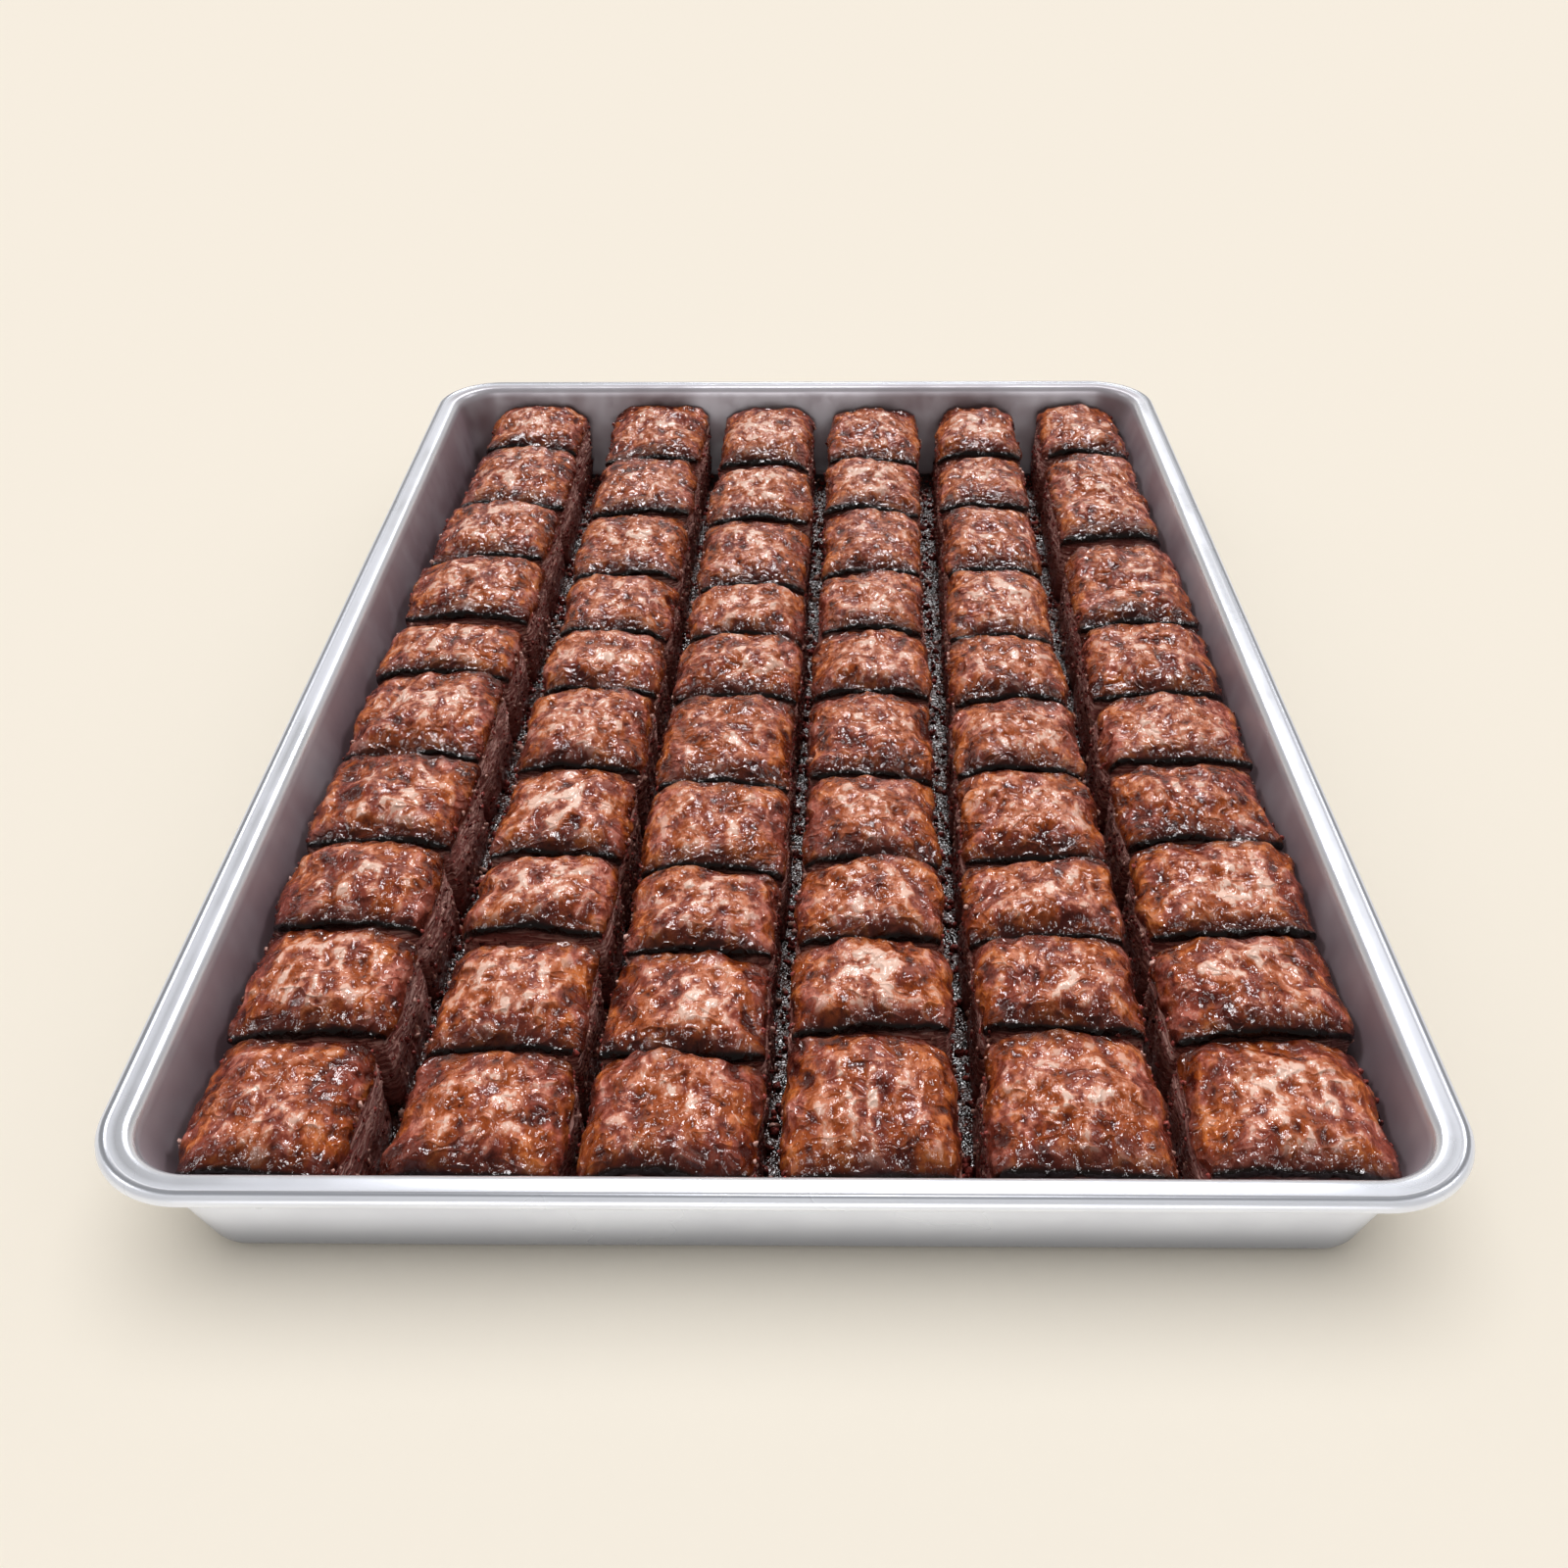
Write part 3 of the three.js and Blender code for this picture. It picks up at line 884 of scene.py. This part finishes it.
def piece_tree():
    tree, given = geometry_tree("Pillow of baklava", PIECE_SIZES)
    place, (u, v, t) = place_by_rule(tree, given)
    # painted shade: masks for a top that darkens toward its front and, less, its back end
    front, back = ramp(v + FRONT_BOW * u * u, -0.45, -0.95), ramp(v, 0.68, 1.0)
    masks = {
        "rim": abs(u).math("MAXIMUM", abs(v)),
        "crown": (1 - u * u) * (1 - v * v),
        "shaded_ends": front + back * BACK_SHADE_SHARE,
        # painted shade along the front cut
        "cut_shade": ramp(v, -0.93, -0.985),
        "side": ramp(t, 0.985, 0.9),
        "tint": given["Tint"],
    }
    shape = given["Geometry"]
    for name, mask in masks.items():
        shape = store(shape, name, mask)
    shape = set_position(shape, "Position", place)
    shape = set_position(shape, "Offset", outline_warp(tree, given))

    here = tree.field("GeometryNodeInputPosition")
    top, shade = top_relief(given, here)
    depth = blend(named_attribute(tree, "side"), top, side_relief(given, here))
    flat_base = ramp(separate(here)[2], 0.0018, 0.004)
    offset = scaled(tree.field("GeometryNodeInputNormal"), depth * flat_base)
    shape = store(shape, "relief", shade)
    shape = set_position(shape, "Offset", offset)
    return finish_tree(tree, shape, given["Material"])


PIECE_TREE = piece_tree()
print("piece tree with", len(PIECE_TREE.nodes), "nodes")

# %% [markdown]
# ## The tray's own rule
# The pieces must stay off the tray's wall, and the tray is drawn later from the same numbers.
# Every height inside the tray has its own rounded rectangle, because the wall leans outward and
# bends into the floor. `keep_inside` slides a point inward until it clears that rectangle.

# %% Sizes of the tray, in millimetres
TRAY_LENGTH = 600
TRAY_WIDTH = 400
TRAY_HEIGHT = 50
BEAD_RADIUS = 2.5
BEAD_ABOVE_FLANGE = 0.5
FLANGE_WIDTH = 10.4
WALL_FLARE = 14.4
RIM_CORNER_RADIUS = 32
CORNER_TIGHTENING = 0.6
FLANGE_BEND_RADIUS = 2.4
FLOOR_BEND_RADIUS = 6
FLANGE_TOP = TRAY_HEIGHT - BEAD_ABOVE_FLANGE
WALL_ANGLE = math.atan2(WALL_FLARE, FLANGE_TOP)
WALL_CLEARANCE = 1.1


def wall_line(z):
    """How far inside the rim the wall's inner face lies at a height, without its bends."""
    return FLANGE_WIDTH + WALL_FLARE * (FLANGE_TOP - z) / FLANGE_TOP


def inner_wall_inset(z):
    """The same with the bend into the floor."""
    drop = FLOOR_BEND_RADIUS - np.clip(z - SHEET, 0, FLOOR_BEND_RADIUS)
    return wall_line(z) + FLOOR_BEND_RADIUS - np.sqrt(FLOOR_BEND_RADIUS**2 - drop**2)


def corner_radius(inset):
    below = np.maximum(0, inset - FLANGE_WIDTH)
    return RIM_CORNER_RADIUS - (inset - below) - CORNER_TIGHTENING * below


def keep_inside(places, clearance):
    """Places in millimetres, slid inward where they would touch the tray's wall."""
    x, y, z = places.T
    inset = inner_wall_inset(z) + clearance
    radius = corner_radius(inset)
    half = [TRAY_WIDTH / 2 - inset, TRAY_LENGTH / 2 - inset]
    near = [np.clip(value, -limit, limit) for value, limit in zip((x, y), half)]
    past = [np.abs(value) - (limit - radius) for value, limit in zip(near, half)]
    away = np.hypot(*past)
    outside = (past[0] > 0) & (past[1] > 0) & (away > radius)
    shrink = np.where(outside, radius / np.maximum(away, 1e-9), 1)
    for axis in (0, 1):
        turned = np.sign(near[axis]) * (half[axis] - radius + past[axis] * shrink)
        near[axis] = np.where(outside, turned, near[axis])
    return np.stack([*near, z], -1)


def clear_wall(mesh, clearance=WALL_CLEARANCE):
    """Slides a mesh's vertices off the tray's wall."""
    places = keep_inside(points_of(mesh) / MM, clearance) * MM
    mesh.vertices.foreach_set("co", places.astype(np.float32).ravel())
    mesh.update()


# %% [markdown]
# ## Bake the pieces
# Now the tree runs once for each piece, with its own measures, seed and direction of wrinkles.
# The result replaces the plain solid, and the distance between the two boxes is printed, to be
# sure that only the surface changed.

# %% Make every piece
LENGTHS = [key for key in PIECE_SIZES if key in PIECES[0]]
WRINKLE_TURN = 0.55
COLUMN_SEED = 17.0
ROW_SEED = 3.7


def make_piece(piece):
    number, row = piece["column"], piece["row"]
    values = {key: piece[key] * MM for key in LENGTHS}
    values["Wrinkle turn"] = WRINKLE_TURN * scatter(number, row, 21)
    values["Tint"] = 0.5 + 0.5 * scatter(number, row, 22)
    values["Seed"] = number * COLUMN_SEED + row * ROW_SEED
    values["Material"] = PASTRY
    made = grow(piece["name"] + "_baked", blank_block(piece), PIECE_TREE, values)
    clear_wall(made.data)
    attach(made, "root")
    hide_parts(piece["name"])
    return made


BAKED = [make_piece(piece) for piece in PIECES]
largest = 0.0
for piece, made in zip(PIECES, BAKED):
    places = points_of(made.data)
    difference = np.array([places.min(0), places.max(0)]) - np.array(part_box(piece["name"]))
    largest = max(largest, np.abs(difference).max())
faces = sum(len(made.data.polygons) for made in BAKED)
print("pieces have", faces, "faces; largest difference of a box:", round(largest / MM, 2), "mm")

# %% [markdown]
# ## The tray
# The tray is one pressed sheet: flat floor, leaning wall, flat flange and rolled edge. Its section
# is a short chain of arcs and straights, and at each point of the section a rounded rectangle runs
# round the tray. The sheet gets faint dents, which make its reflections wander.

# %% Section and loops of the tray
CORNER_STEPS = 18
LONG_SIDE_STEPS = 48
SHORT_SIDE_STEPS = 32
BEND_STEPS = 8
WALL_STEPS = 12
FLANGE_STEPS = 3
DENT_DEPTH = 0.35
DENT_WAVES = 6
DENT_PITCH = 0.011
DENT_SPREAD = 0.3
DENT_SHIFT = 3
DENT_SLANT = 0.05


def section_arc(inset, z, radius, start, end):
    """Points of an arc in the section, as distance inside the rim and height."""
    angle = np.linspace(start, end, BEND_STEPS + 1)
    return np.stack([inset + radius * np.cos(angle), z + radius * np.sin(angle)], -1)


def straight(first, last, steps):
    """The points between two points of the section, without the two themselves."""
    share = np.linspace(0, 1, steps + 1)[1:-1, None]
    return np.asarray(first) * (1 - share) + np.asarray(last) * share


def tray_section():
    """From the middle of the underside out, up the outside to the bead, and down the inside."""
    down, up = -math.pi / 2, math.pi / 2
    outward = -math.pi + WALL_ANGLE
    lean = math.cos(WALL_ANGLE)
    floor_z = FLOOR_BEND_RADIUS + SHEET
    floor_x = wall_line(floor_z) + FLOOR_BEND_RADIUS / lean
    flange_radius = FLANGE_BEND_RADIUS + SHEET
    flange_z = FLANGE_TOP - flange_radius
    flange_x = wall_line(flange_z) - flange_radius / lean
    under_floor = section_arc(floor_x, floor_z, floor_z, down, outward)
    under_flange = section_arc(flange_x, flange_z, FLANGE_BEND_RADIUS, WALL_ANGLE, up)
    outer_lip = [(BEAD_RADIUS, FLANGE_TOP - SHEET), (BEAD_RADIUS, FLANGE_TOP)]
    over_flange = section_arc(flange_x, flange_z, flange_radius, up, WALL_ANGLE)
    floor_bend = section_arc(floor_x, floor_z, FLOOR_BEND_RADIUS, outward, down)
    outside = straight(under_floor[-1], under_flange[0], WALL_STEPS)
    flange = straight(outer_lip[-1], over_flange[0], FLANGE_STEPS)
    inside = straight(over_flange[-1], floor_bend[0], WALL_STEPS)
    chain = [under_floor, outside, under_flange, outer_lip, flange, over_flange, inside, floor_bend]
    return np.concatenate(chain)


def tray_loop(inset, z):
    """A rounded rectangle at a distance inside the tray's edge, counter-clockwise from above."""
    radius = corner_radius(inset)
    centre = np.array([TRAY_WIDTH, TRAY_LENGTH]) / 2 - inset - radius
    arcs = []
    for quarter, sides in enumerate([(1, 1), (-1, 1), (-1, -1), (1, -1)]):
        angle = (quarter + np.linspace(0, 1, CORNER_STEPS + 1)) * math.pi / 2
        turn = np.stack([np.cos(angle), np.sin(angle)], -1)
        arcs.append(np.array(sides) * centre + radius * turn)
    loop = []
    steps = [SHORT_SIDE_STEPS, LONG_SIDE_STEPS] * 2
    for arc, following, count in zip(arcs, arcs[1:] + arcs[:1], steps):
        loop += [arc, straight(arc[-1], following[0], count)]
    return at_height(np.concatenate(loop), z)


def dents(places):
    """A slow unevenness of the sheet, in millimetres, strongest half way up the wall."""
    x, y, z = places.T
    total = np.zeros(len(places))
    for wave in range(1, DENT_WAVES + 1):
        pitch_x, pitch_y = (1 + DENT_SPREAD * scatter(wave, draw) for draw in (1, 2))
        along = DENT_PITCH * wave * (x * pitch_x + y * pitch_y)
        total += np.sin(along + DENT_SHIFT * scatter(wave, 3) + DENT_SLANT * z) / wave
    return DENT_DEPTH * total * np.sin(np.clip(z / FLANGE_TOP, 0, 1) * math.pi)


def tray_sheet():
    loops = [tray_loop(inset, z) for inset, z in tray_section()]
    places = np.concatenate(loops)
    rows = np.arange(len(places)).reshape(len(loops), -1)
    outward = places[:, :2] / np.linalg.norm(places[:, :2], axis=1, keepdims=True)
    places[:, :2] += outward * dents(places)[:, None]
    faces = ring_faces(rows) + [rows[0][::-1].tolist(), rows[-1].tolist()]
    mesh = mesh_from("tray_sheet", places * MM, faces)
    mesh.shade_smooth()
    for polygon in mesh.polygons[-2:]:
        polygon.use_smooth = False
    return mesh


# %% [markdown]
# ## The metal
# Tray metal is satin: use leaves it with fine scratches and cloudy patches. The inside carries a
# film of syrup, thin near the rim and thick and brown low down and at the far end. The film's
# mauve near the rim is partly a painted reflection of the pastry, and at the far end it is darkened
# with painted shade. The film is not metal, so it takes away the shine there. The outside has
# painted shade: it is greyer near the foot, and a dark line runs along the top of the bead, for the
# groove beside the flange.

# %% Metal material
ALUMINIUM = colour(226, 230, 236)
DULL_ALUMINIUM = colour(206, 209, 216)
FOOT_SHADE_GREY = colour(128, 130, 134)
SEAM_SHADE_GREY = colour(84, 87, 92)
THIN_STAIN_AND_REFLECTION = colour(140, 118, 124)
STAIN_THICK = colour(84, 56, 64)
FAR_WALL_SHADE = colour(66, 26, 24)
SCRATCH_STRETCH = (20, 260, 260)


def metal_material():
    finish = Finish("tray_metal", Metallic=1.0)
    clouds = finish.group(PATCHES, size=0.06, low=0.35, high=0.65, seed=1.0)
    smears = finish.group(PATCHES, size=0.012, low=0.45, high=0.7, seed=2.0)
    scratches = noise(vector_math("MULTIPLY", finish.place, SCRATCH_STRETCH), 1.0, 1.0)
    _, depth, height = separate(finish.place)
    inside = finish.attribute("inside")
    # painted shade: the far wall inside is darkened
    far = ramp(depth, 0.262, 0.28) * inside
    film = ramp(height, 0.0485, 0.044) * inside
    film = blend(far * 0.65, film, 1.0)
    stain = ramp(height, 0.046, 0.016)
    # the film's colour: stain, partly painted reflection of the pastry, painted shade at the far end
    stain_reflection_and_shade = mix(blend(smears, stain * 0.8, stain), THIN_STAIN_AND_REFLECTION, STAIN_THICK)
    stain_reflection_and_shade = mix(far * 0.9, stain_reflection_and_shade, FAR_WALL_SHADE)
    body = mix(clouds * 0.6, ALUMINIUM, DULL_ALUMINIUM)
    outside = 1 - inside
    # painted shade: the outside greys toward the foot
    body = mix(ramp(height, 0.028, 0.003) * outside, body, FOOT_SHADE_GREY)
    # painted shade: a dark line along the top of the bead, for the groove beside the flange
    body = mix(ramp(height, 0.0497, 0.04995) * outside * 0.7, body, SEAM_SHADE_GREY)
    body = mix(film * blend(clouds, 0.75, 0.95), body, stain_reflection_and_shade)
    finish.set(Base_Color=body, Metallic=0.25 + inside * 0.5 - film * (0.6 + far * 0.15))
    finish.set(Roughness=blend(clouds, 0.26, 0.36) + film * (0.14 + smears * 0.08))
    finish.bump(scratches, 0.0001, 0.5)
    return finish.material


METAL = metal_material()

# %% [markdown]
# ## The rolled edge
# The edge of the sheet is rolled outward into a bead: a small circle, swept along the rounded
# rectangle of the rim. The narrow groove between the bead and the flange shows as a dark line,
# which the metal's colour paints in as shade along the top of the bead.

# %% Bead tree
BEAD_SIDES = 20


def bead_tree():
    tree, given = geometry_tree("Rolled edge", {"Radius": BEAD_RADIUS * MM, "Sides": BEAD_SIDES})
    path = tree.field("GeometryNodeMeshToCurve", {"Mesh": given["Geometry"]})
    profile = {"Radius": given["Radius"], "Resolution": given["Sides"]}
    circle = tree.field("GeometryNodeCurvePrimitiveCircle", profile)
    tube = tree.field("GeometryNodeCurveToMesh", {"Curve": path, "Profile Curve": circle})
    return finish_tree(tree, tube, given["Material"])


def make_tray():
    sheet = link(bpy.data.objects.new("tray_sheet", tray_sheet()))
    sheet.data.materials.append(METAL)
    walls = tray_section()
    inner = np.arange(len(walls)) > np.argmax(walls[:, 1])
    set_mask(sheet.data, "inside", np.repeat(inner, len(sheet.data.vertices) // len(walls)))

    loop = tray_loop(BEAD_RADIUS, TRAY_HEIGHT - BEAD_RADIUS) * MM
    path = bpy.data.meshes.new("bead_path")
    steps = [(i, (i + 1) % len(loop)) for i in range(len(loop))]
    path.from_pydata([tuple(point) for point in loop], steps, [])
    bead = grow("tray_bead", path, bead_tree(), {"Material": METAL})
    for made in (sheet, bead):
        REACH["metal"].objects.link(made)
        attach(made, "root")
        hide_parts("tray")
    print("tray faces:", len(sheet.data.polygons), "and", len(bead.data.polygons))


make_tray()

# %% [markdown]
# ## Syrup in the bottom
# The pieces stand in a shallow pool of dark syrup, which shows at the bottom of the gaps. The
# floor is divided into small squares, the squares that lie wholly under a piece are left out, and
# the rest become a thin closed slab with a rippled top.

# %% Open floor between the pieces
POOL_CELL = 2.5
POOL_TOP = 3.4
POOL_BOTTOM = SHEET + 0.1
POOL_INSET = 0.3
POOL_CLEARANCE = 0.05
COVER_MARGIN = 4.0


def covered(x, y):
    """Whether places in plan lie well under a piece."""
    hidden = np.zeros(x.shape, bool)
    for piece in PIECES:
        share = (y - piece["Front"]) / (piece["Back"] - piece["Front"])
        left = blend(share, piece["Left at front"], piece["Left at back"])
        right = blend(share, piece["Right at front"], piece["Right at back"])
        within = (y > piece["Front"] + COVER_MARGIN) & (y < piece["Back"] - COVER_MARGIN)
        hidden |= within & (x > left + COVER_MARGIN) & (x < right - COVER_MARGIN)
    return hidden


def open_squares():
    """The floor's grid in plan, and the corners of its squares that aren't wholly covered."""
    wall = inner_wall_inset(POOL_TOP) + POOL_INSET
    half = [TRAY_WIDTH / 2 - wall, TRAY_LENGTH / 2 - wall]
    xs, ys = (np.linspace(-limit, limit, round(2 * limit / POOL_CELL) + 1) for limit in half)
    middles = np.meshgrid((xs[1:] + xs[:-1]) / 2, (ys[1:] + ys[:-1]) / 2, indexing="ij")
    squares = {}
    for i, j in np.argwhere(~covered(*middles)).tolist():
        a, b = i * len(ys) + j, (i + 1) * len(ys) + j
        squares[i, j] = [a, b, b + 1, a + 1]
    return np.array([(x, y) for x in xs for y in ys]), squares


def pool_slab():
    """A closed slab over the open squares, with its outer edge kept inside the wall."""
    grid, squares = open_squares()
    count = len(grid)
    upper = keep_inside(at_height(grid, POOL_TOP), POOL_CLEARANCE)
    points = np.concatenate([upper, upper * (1, 1, 0) + (0, 0, POOL_BOTTOM)])
    faces = []
    for (i, j), corners in squares.items():
        faces.append(corners)
        faces.append([corner + count for corner in corners[::-1]])
        neighbours = [(i, j - 1), (i + 1, j), (i, j + 1), (i - 1, j)]
        for neighbour, first, second in zip(neighbours, corners, corners[1:] + corners[:1]):
            if neighbour not in squares:
                faces.append([first, first + count, second + count, second])
    used = np.unique(np.array(faces))
    number = np.full(len(points), -1)
    number[used] = np.arange(len(used))
    return mesh_from("pool", points[used] * MM, number[np.array(faces)].tolist())


def pool_tree():
    sizes = {"Bottom": POOL_BOTTOM * MM, "Ripple size": 0.006, "Ripple height": 0.0012}
    tree, given = geometry_tree("Rippled pool", sizes)
    place = tree.field("GeometryNodeInputPosition")
    ripple = noise(place, 1 / given["Ripple size"], 3.0, 0.6) - 0.5
    on_top = separate(place)[2].math("GREATER_THAN", given["Bottom"] + 0.5 * MM)
    lift = tree.combine(0.0, 0.0, ripple * given["Ripple height"] * 2 * on_top)
    pool = set_position(given["Geometry"], "Offset", lift)
    return finish_tree(tree, pool, given["Material"])


# %% [markdown]
# ## Finishes of the syrup and the crumbs
# Syrup that has soaked through cocoa is almost black, and very glossy. The crumbs in it are of
# two kinds: red brown cocoa crumbs, and ground nuts in a pale beige. All are wet.

# %% Syrup and crumb materials
SYRUP_DARK = colour(30, 14, 13)
SYRUP_THIN = colour(78, 40, 32)
CRUMB_DARK = colour(74, 26, 22)
CRUMB_WARM = colour(176, 86, 78)
NUT_PALE = colour(246, 200, 186)
NUT_BROWN = colour(150, 100, 84)


def wet_material(name, dark, light, size, bump, shine):
    finish = Finish(name, IOR=1.55, Specular_IOR_Level=shine)
    patches = finish.group(PATCHES, size=size, low=0.4, high=0.62, seed=1.0)
    specks = finish.group(SPECKS, size=size * 0.5, amount=0.3, seed=2.0)
    body = mix(patches, dark, light)
    finish.set(Base_Color=mix(specks * 0.5, body, dark))
    finish.set(Roughness=blend(patches, 0.08, 0.2))
    finish.bump(finish.group(WET_RELIEF, size=0.0016, crackle=0.5, seed=3.0), bump)
    return finish.material


SYRUP = wet_material("cocoa_syrup", SYRUP_DARK, SYRUP_THIN, 0.005, 0.0003, 0.3)
COCOA_CRUMB = wet_material("cocoa_crumb", CRUMB_DARK, CRUMB_WARM, 0.003, 0.0002, 0.15)
NUT_CRUMB = wet_material("nut_crumb", NUT_BROWN, NUT_PALE, 0.003, 0.0002, 0.15)

# %% Fill the pool
pool = grow("syrup_pool", pool_slab(), pool_tree(), {"Material": SYRUP})
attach(pool, "root")
print("syrup pool faces:", len(pool.data.polygons))

# %% [markdown]
# ## Crumbs
# Cutting baklava crumbles the filling. The crumbs stick to the wet cut sides and collect in the
# gaps. One tree scatters them over whatever surface it is given: on each random point it puts one
# of three lumpy shapes, turned and sized at random, and it makes them all real meshes.

# %% Crumb tree
CRUMB_SHAPES = 3
CRUMB_SIZES = {
    "Density": 40000.0,
    "Smallest": 0.0008,
    "Largest": 0.0022,
    "Flatness": 0.8,
    "Sink": 0.0,
    "Seed": 1,
}
SHAPE_STEP = (5.3, 2.9, 7.1)
# the first input and the output of the Random Value node for each kind of value
RANDOM_SOCKETS = {"FLOAT_VECTOR": (0, 0), "FLOAT": (2, 1), "INT": (4, 2)}


def crumb_shape(tree, number, flatness):
    """One lumpy shape, as wide as one unit."""
    ball = tree.field("GeometryNodeMeshIcoSphere", {"Radius": 0.5, "Subdivisions": 1})
    place = tree.field("GeometryNodeInputPosition")
    shift = vector_math("ADD", place, [number * step for step in SHAPE_STEP])
    lumpy = set_position(ball, "Offset", swing(shift, 2.2, 0.9))
    size = {"Geometry": lumpy, "Scale": tree.combine(1.0, 0.62 + 0.16 * number, flatness)}
    flat = tree.field("GeometryNodeTransform", size)
    return tree.field("GeometryNodeGeometryToInstance", {"Geometry": flat})


def random_value(tree, kind, low, high, seed):
    """A random number or vector for each point."""
    first, output = RANDOM_SOCKETS[kind]
    inputs = {first: low, first + 1: high, "Seed": seed}
    return tree.field("FunctionNodeRandomValue", inputs, output, data_type=kind)


def crumb_tree():
    tree, given = geometry_tree("Scattered crumbs", CRUMB_SIZES)
    seed = given["Seed"]
    inputs = {"Mesh": given["Geometry"], "Density": given["Density"], "Seed": seed}
    spread = tree.add("GeometryNodeDistributePointsOnFaces", inputs, distribute_method="RANDOM")
    points, normal = (Field(tree, spread.outputs[name]) for name in ("Points", "Normal"))
    sunk = set_position(points, "Offset", scaled(normal, given["Sink"] * -1))
    shapes = tree.add("GeometryNodeJoinGeometry")
    for number in range(CRUMB_SHAPES):
        shape = crumb_shape(tree, number, given["Flatness"])
        tree.tree.links.new(shape.socket, shapes.inputs[0])
    size = random_value(tree, "FLOAT", 0.0, 1.0, seed + 1) ** 2.0
    placed = {
        "Points": sunk,
        "Instance": Field(tree, shapes.outputs[0]),
        "Pick Instance": True,
        "Instance Index": random_value(tree, "INT", 0, CRUMB_SHAPES - 1, seed + 2),
        "Rotation": random_value(tree, "FLOAT_VECTOR", (0.0, 0.0, 0.0), (6.28, 6.28, 6.28), seed),
        "Scale": blend(size, given["Smallest"], given["Largest"]),
    }
    crumbs = tree.field("GeometryNodeInstanceOnPoints", placed)
    return finish_tree(tree, crumbs, given["Material"])


CRUMB_TREE = crumb_tree()

# %% Surfaces that carry crumbs
CRUMB_LOW = 9.0
CRUMB_HIGH = 36.0
OPEN_CUT = 4.0
FACING = 0.6
FLOOR_SINK = 0.3
FLOOR_CRUMB_CLEARANCE = 0.6


def open_sides():
    """The side faces that look into a gap between columns or into a cut that stands open."""
    points, faces, count = [], [], 0
    for piece, made in zip(PIECES, BAKED):
        mesh = made.data
        height = vectors_of(mesh.polygons, "center")[:, 2] / MM
        normal = vectors_of(mesh.polygons, "normal")
        wide = COLUMNS[piece["column"] - 1]["wide"]
        open_front = wide.get(piece["row"], 0) >= OPEN_CUT
        open_back = wide.get(piece["row"] - 1, 0) >= OPEN_CUT
        open_side = np.abs(normal[:, 0]) > FACING
        open_side |= (normal[:, 1] < -FACING) & open_front
        open_side |= (normal[:, 1] > FACING) & open_back
        for index in np.flatnonzero(open_side & (height > CRUMB_LOW) & (height < CRUMB_HIGH)):
            faces.append([vertex + count for vertex in mesh.polygons[index].vertices])
        points.append(points_of(mesh))
        count += len(mesh.vertices)
    return mesh_from("open_sides", np.concatenate(points), faces)


def open_floor():
    """The open part of the floor, a little below the top of the syrup."""
    grid, squares = open_squares()
    places = keep_inside(at_height(grid, POOL_TOP - FLOOR_SINK), FLOOR_CRUMB_CLEARANCE)
    return mesh_from("open_floor", places * MM, squares.values())


# %% Scatter the crumbs
CRUMB_CLEARANCE = 0.2
SIDE_SIZES = {"Smallest": 0.0008, "Largest": 0.0032, "Sink": 0.0001}
FLOOR_SIZES = {"Smallest": 0.0012, "Largest": 0.0052, "Sink": -0.0004}
CRUMBS = [
    # name, surface, crumbs on a square metre, seed, material and sizes
    ("cocoa_crumbs_on_sides", open_sides, 46000.0, 3, COCOA_CRUMB, SIDE_SIZES),
    ("nut_crumbs_on_sides", open_sides, 24000.0, 5, NUT_CRUMB, SIDE_SIZES),
    ("cocoa_crumbs_on_floor", open_floor, 60000.0, 7, COCOA_CRUMB, FLOOR_SIZES),
    ("nut_crumbs_on_floor", open_floor, 18000.0, 9, NUT_CRUMB, FLOOR_SIZES),
]


def make_crumbs(name, surface, density, seed, material, sizes):
    values = {"Density": density, "Seed": seed, "Material": material, **sizes}
    crumbs = grow(name, surface(), CRUMB_TREE, values)
    clear_wall(crumbs.data, CRUMB_CLEARANCE)
    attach(crumbs, "root")
    print(name, "faces:", len(crumbs.data.polygons))


for kind in CRUMBS:
    make_crumbs(*kind)
